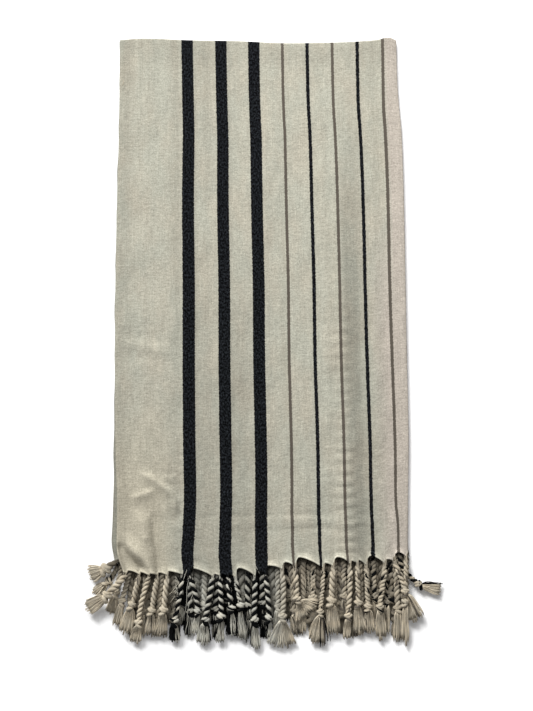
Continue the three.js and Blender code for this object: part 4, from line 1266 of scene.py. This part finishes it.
def plain_weave():
    """Height of a plain weave's threads, and how deep a place lies between them."""
    if "Plain weave" in bpy.data.node_groups:
        return bpy.data.node_groups["Plain weave"]
    tree, given, result = new_group(
        "Plain weave", [("Cut", "NodeSocketVector"), ("Pitch", "NodeSocketFloat")],
        [("Height", "NodeSocketFloat"), ("Gap", "NodeSocketFloat")],
    )
    wander = noise(tree, given.outputs["Cut"], (60.0, 60.0, 1.0), 1.0)
    wander = calculate(tree, "MULTIPLY", calculate(tree, "SUBTRACT", wander, 0.5), 1.6)
    parts = add_node(tree, "ShaderNodeSeparateXYZ", {0: given.outputs["Cut"]})
    counts = []
    for axis in (0, 1):
        count = calculate(tree, "DIVIDE", parts.outputs[axis], given.outputs["Pitch"])
        counts.append(calculate(tree, "ADD", count, wander))
    threads = []
    for one, other, sign in ((counts[0], counts[1], 1.0), (counts[1], counts[0], -1.0)):
        within = calculate(tree, "SUBTRACT", calculate(tree, "FRACT", one), 0.5)
        round_top = calculate(tree, "ADD", product(tree, within, within, -4.0), 1.0)
        odd = calculate(tree, "FLOORED_MODULO", calculate(tree, "FLOOR", one), 2.0)
        flip = calculate(tree, "MULTIPLY_ADD", odd, -2.0 * sign, 1.0 * sign)
        wave = calculate(tree, "SINE", product(tree, other, math.pi))
        over = calculate(tree, "MULTIPLY_ADD", product(tree, wave, flip), 0.5, 0.5)
        threads.append(product(tree, round_top, over))
    height = calculate(tree, "MAXIMUM", *threads)
    tree.links.new(height, result.inputs["Height"])
    tree.links.new(ramp_value(tree, height, 0.45, 0.05), result.inputs["Gap"])
    return tree


def new_material(name, roughness, sheen):
    """A material with its Principled shader; the values that don't change stand on its sockets."""
    made = bpy.data.materials.new(name)
    made.use_nodes = True
    tree = made.node_tree
    tree.nodes.clear()
    inputs = {"Roughness": roughness, "Sheen Weight": sheen, "Sheen Roughness": 0.5}
    shader = add_node(tree, "ShaderNodeBsdfPrincipled", inputs)
    shader.inputs["Specular IOR Level"].default_value = 0.03
    shader.inputs["Sheen Tint"].default_value = (1.0, 0.97, 0.92, 1.0)
    output = tree.nodes.new("ShaderNodeOutputMaterial")
    tree.links.new(shader.outputs[0], output.inputs[0])
    return made, tree, shader


def undyed_colour(tree, cut, across, along, cream):
    """Undyed cotton: cloudy, pinker and a little lighter by the lengthwise fold, and warmer towards the
    lower left corner.
    """
    clouds = ramp_value(tree, noise(tree, cut, (22.0, 9.0, 1.0), 3.0, 0.6), 0.38, 0.66)
    base = mix_colours(tree, clouds, tinted(cream, 0.98, 1.0, 1.0), tinted(cream, 1.02, 0.99, 0.97))
    by_fold = ramp_value(tree, across, 0.474, 0.484)
    near_fringe = ramp_value(tree, along, 0.66, 0.40, smooth=True)
    wider = product(tree, ramp_value(tree, across, 0.438, 0.470), near_fringe)
    by_fold = calculate(tree, "MAXIMUM", by_fold, wider)
    by_fold = product(tree, by_fold, ramp_value(tree, across, 0.502, 0.500))
    base = mix_colours(tree, by_fold, base, tinted(cream, 1.10, 1.02, 1.06))
    left = ramp_value(tree, across, 0.110, 0.060, smooth=True)
    lower = ramp_value(tree, along, 0.34, 0.10, smooth=True)
    return mix_colours(tree, product(tree, left, lower), base, tinted(cream, 1.05, 1.0, 0.95))


def cloth_shade(tree, cut, across, along):
    """Lightness of the cloth: uneven threads; painted shade in bands, near the fold and on the hidden half;
    a painted rim highlight.
    """
    shade = 1.0
    for stretch, roughness, darkest, lightest in CLOTH_SHADES:
        uneven = noise(tree, cut, stretch, 3.0, roughness)
        shade = product(tree, shade, ramp_value(tree, uneven, 0.25, 0.75, darkest, lightest))
    # Painted shade: soft darker bands along the warp
    for middle, half, strength, upper_end, lower_end in PAINTED_SHADE_BANDS:
        inside = ramp_value(tree, distance(tree, across, middle), half, 0.0, 0.0, strength, smooth=True)
        lower = ramp_value(tree, along, upper_end, lower_end, smooth=True)
        darker = calculate(tree, "MULTIPLY_ADD", product(tree, inside, lower), -1.0, 1.0)
        shade = product(tree, shade, darker)
    # Painted highlight along the fringed edge of the upper layers, where the curled lip catches the light
    painted_rim_highlight = ramp_value(tree, along, 0.0050, 0.0020, 1.0, 1.42)
    # Painted shade from just below the top fold over all the cloth beyond it, which lies underneath
    painted_fold_shade = ramp_value(tree, along, TURN_START - 0.06, TURN_START, 1.0, 0.87, smooth=True)
    # Painted shade on the hidden half of the cut, which lies under the panel that shows
    hidden = ramp_value(tree, across, WRAP_START, WRAP_END, 1.0, 0.60)
    return product(tree, shade, painted_rim_highlight, painted_fold_shade, hidden)


def cloth_bumps(tree, cut, threads):
    """Normal of the cloth, from the height of its threads, its slubs and its soft rumples."""
    slubs = noise(tree, cut, (60.0, 520.0, 1.0), 2.0)
    height = calculate(tree, "MULTIPLY_ADD", slubs, 0.9, threads)
    fine = add_node(tree, "ShaderNodeBump", {"Strength": 0.55, "Distance": 0.00022, "Height": height})
    rumple = noise(tree, cut, (70.0, 55.0, 1.0), 3.0, 0.55)
    inputs = {"Strength": 0.7, "Distance": 0.0016, "Height": rumple, "Normal": fine.outputs[0]}
    return add_node(tree, "ShaderNodeBump", inputs).outputs[0]


def cloth_material(sizes, colours):
    """Woven cotton by its place in the cut."""
    made, tree, shader = new_material("Striped cotton", 0.92, 0.02)
    cut = add_node(tree, "ShaderNodeUVMap", uv_map="cut").outputs[0]
    parts = add_node(tree, "ShaderNodeSeparateXYZ", {0: cut})
    across, along = parts.outputs[0], parts.outputs[1]
    ragged = noise(tree, cut, (500.0, 420.0, 1.0), 2.0)
    ragged = calculate(tree, "MULTIPLY_ADD", ragged, 0.0032, -0.0016)
    stripes = add_node(tree, "ShaderNodeGroup", node_tree=warp_stripes())
    tree.links.new(calculate(tree, "ADD", across, ragged), stripes.inputs["Across"])
    weave = add_node(tree, "ShaderNodeGroup", node_tree=plain_weave())
    tree.links.new(cut, weave.inputs["Cut"])
    weave.inputs["Pitch"].default_value = sizes.weave_pitch

    cream = (*colours.cream, 1.0)
    base = undyed_colour(tree, cut, across, along, cream)
    base = lightened(tree, base, cloth_shade(tree, cut, across, along))
    seeds = ramp_value(tree, noise(tree, cut, (640.0, 520.0, 1.0), 0.0), 0.800, 0.840)
    base = mix_colours(tree, seeds, base, tinted(cream, 0.42, 0.42, 0.42))
    base = mix_colours(tree, stripes.outputs["Brown"], base, (*colours.brown, 1.0))
    worn = noise(tree, cut, (340.0, 260.0, 1.0), 3.0, 0.75)
    worn = ramp_value(tree, worn, 0.45, 0.68, 0.4, 11.5)
    base = mix_colours(tree, stripes.outputs["Black"], base, lightened(tree, colours.black, worn))
    # Painted shade between the threads of the weave
    gap = product(tree, weave.outputs["Gap"], 0.30)
    painted_thread_shade = mix_colours(tree, 1.0, base, (0.45, 0.42, 0.38, 1.0), "MULTIPLY")
    base = mix_colours(tree, gap, base, painted_thread_shade)
    tree.links.new(base, shader.inputs["Base Color"])
    tree.links.new(cloth_bumps(tree, cut, weave.outputs["Height"]), shader.inputs["Normal"])
    return made


def yarn_material():
    """Spun cotton yarn, dyed by the mesh's dye attribute, whose third channel is a tone with painted shade
    and light.
    """
    if "Spun cotton" in bpy.data.materials:
        return bpy.data.materials["Spun cotton"]
    colours = bpy.context.scene.towel_colours
    made, tree, shader = new_material("Spun cotton", 0.9, 0.03)
    dye = add_node(tree, "ShaderNodeAttribute", attribute_name="dye", attribute_type="GEOMETRY")
    masks = add_node(tree, "ShaderNodeSeparateColor", {0: dye.outputs["Color"]})
    place = add_node(tree, "ShaderNodeTexCoord").outputs["Object"]
    yarn = add_node(tree, "ShaderNodeUVMap", uv_map="yarn").outputs[0]
    parts = add_node(tree, "ShaderNodeSeparateXYZ", {0: yarn})
    lay = calculate(tree, "MULTIPLY_ADD", parts.outputs[1], 6.0, product(tree, parts.outputs[0], 520.0))
    fibres = calculate(tree, "SINE", product(tree, lay, 2 * math.pi))
    fuzz = noise(tree, place, (2600.0, 2600.0, 2600.0), 2.0, 0.6)
    patches = noise(tree, place, (90.0, 90.0, 90.0), 2.0)
    cream = (*colours.yarn, 1.0)
    grey = tinted(cream, 0.90, 0.93, 0.97)
    base = mix_colours(tree, ramp_value(tree, patches, 0.35, 0.65), cream, grey)
    along_edge = add_node(tree, "ShaderNodeSeparateXYZ", {0: place}).outputs[0]
    off = distance(tree, along_edge, WIDE_STRIPES_MIDDLE)
    below_black = ramp_value(tree, off, COOLER_WITHIN, COOLEST_WITHIN, smooth=True)
    cooler = mix_colours(tree, 1.0, base, (0.95, 1.05, 1.18, 1.0), "MULTIPLY")
    base = mix_colours(tree, below_black, base, cooler)
    # Tone from the dye attribute, with its painted shade and light, times the fuzz and fibres
    tone = product(
        tree, ramp_value(tree, masks.outputs[2], 0.0, 1.0, 0.20, 1.58),
        ramp_value(tree, fuzz, 0.2, 0.8, 0.84, 1.12), ramp_value(tree, fibres, -1.0, 1.0, 0.90, 1.04),
    )
    base = lightened(tree, base, tone)
    base = mix_colours(tree, masks.outputs[1], base, (*colours.brown, 1.0))
    base = mix_colours(tree, masks.outputs[0], base, (*colours.black, 1.0))
    tree.links.new(base, shader.inputs["Base Color"])
    height = calculate(tree, "MULTIPLY_ADD", fibres, 0.5, fuzz)
    bump = add_node(tree, "ShaderNodeBump", {"Strength": 0.6, "Distance": 0.0003, "Height": height})
    tree.links.new(bump.outputs[0], shader.inputs["Normal"])
    return made


def floor_material(colours):
    made, tree, shader = new_material("Pale floor", 0.85, 0.0)
    place = add_node(tree, "ShaderNodeTexCoord").outputs["Object"]
    mottled = ramp_value(tree, noise(tree, place, (3.0, 3.0, 3.0), 2.0), 0.3, 0.7, 0.995, 1.0)
    tree.links.new(lightened(tree, colours.floor, mottled), shader.inputs["Base Color"])
    return made


# Operators and their panel
class TOWEL_OT_fringes(bpy.types.Operator):
    """Knot the tassels of all four layers"""

    bl_idname = "towel.fringes"
    bl_label = "Knotted fringes"

    def execute(self, context):
        sizes = context.scene.towel_sizes
        for seed, layer in enumerate(GATHERS):
            add_fringe(f"tassels_{layer}", layer, f"fringe_{layer}", sizes, FIRST_SEED + seed)
        add_loose_yarns("loose_yarns", sizes)
        return {"FINISHED"}


class TOWEL_OT_cloth(bpy.types.Operator):
    """Fold the striped cloth in four"""

    bl_idname = "towel.cloth"
    bl_label = "Folded cloth"

    def execute(self, context):
        sizes, colours = context.scene.towel_sizes, context.scene.towel_colours
        cloth = sheet_mesh("fouta_cloth", *cloth_lines(), sizes.cloth_thickness)
        cloth.data.materials.append(cloth_material(sizes, colours))
        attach(cloth, "root")
        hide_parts("outer_cloth", "inner_layers")
        return {"FINISHED"}


class TOWEL_OT_studio(bpy.types.Operator):
    """Set up the floor, the lights and the camera"""

    bl_idname = "towel.studio"
    bl_label = "Studio"

    def execute(self, context):
        scene = context.scene
        bpy.ops.mesh.primitive_plane_add(size=FLOOR_SIZE, location=(0, 0, 0))
        floor = context.object
        floor.name = "floor"
        for corner in floor.data.vertices:
            corner.co.z = FLOOR_LEVEL
        floor.data.materials.append(floor_material(scene.towel_colours))

        world = bpy.data.worlds.new("Studio")
        world.use_nodes = True
        sky = world.node_tree.nodes["Background"]
        sky.inputs["Color"].default_value = (1.0, 1.0, 1.0, 1.0)
        sky.inputs["Strength"].default_value = SKY_STRENGTH
        scene.world = world
        for name, kind, place, size, power in LIGHTS:
            lamp = bpy.data.lights.new(name, kind)
            lamp.energy = power
            if kind == "SUN":
                lamp.angle = size
            else:
                lamp.shape, lamp.size = "SQUARE", size
            light = bpy.data.objects.new(name, lamp)
            light.location = place
            light.rotation_euler = (-light.location).to_track_quat("-Z", "Y").to_euler()
            scene.collection.objects.link(light)

        tilt, roll = math.radians(CAMERA_TILT), math.radians(CAMERA_ROLL)
        up = Vector((-math.sin(roll) * math.cos(tilt), math.cos(roll) * math.cos(tilt), -math.sin(tilt)))
        right = Vector((math.cos(roll), math.sin(roll), 0))
        camera = bpy.data.objects.new("camera", bpy.data.cameras.new("camera"))
        camera.data.lens = LENS
        camera.data.sensor_width = SENSOR_WIDTH
        turned = Matrix((right, up, right.cross(up))).to_4x4()
        camera.matrix_world = Matrix.Translation(CAMERA_PLACE) @ turned
        scene.collection.objects.link(camera)
        scene.camera = camera
        scene.view_settings.view_transform = "Standard"
        return {"FINISHED"}


class TOWEL_PT_panel(bpy.types.Panel):
    """Everything that the towel is made of"""

    bl_label = "Fouta towel"
    bl_idname = "TOWEL_PT_panel"
    bl_space_type = "VIEW_3D"
    bl_region_type = "UI"
    bl_category = "Towel"

    def draw(self, context):
        for step in OPERATORS:
            self.layout.operator(step.bl_idname)
        for group in (context.scene.towel_sizes, context.scene.towel_colours):
            for name in group.__annotations__:
                self.layout.prop(group, name)


OPERATORS = (TOWEL_OT_fringes, TOWEL_OT_cloth, TOWEL_OT_studio)
CLASSES = (TowelSizes, TowelColours, *OPERATORS, TOWEL_PT_panel)


def register():
    for each in CLASSES:
        bpy.utils.register_class(each)
    bpy.types.Scene.towel_sizes = bpy.props.PointerProperty(type=TowelSizes)
    bpy.types.Scene.towel_colours = bpy.props.PointerProperty(type=TowelColours)


def unregister():
    del bpy.types.Scene.towel_colours
    del bpy.types.Scene.towel_sizes
    for each in reversed(CLASSES):
        bpy.utils.unregister_class(each)


def main():
    register()
    bpy.ops.towel.fringes()
    bpy.ops.towel.cloth()
    bpy.ops.towel.studio()


if __name__ == "__main__":
    main()
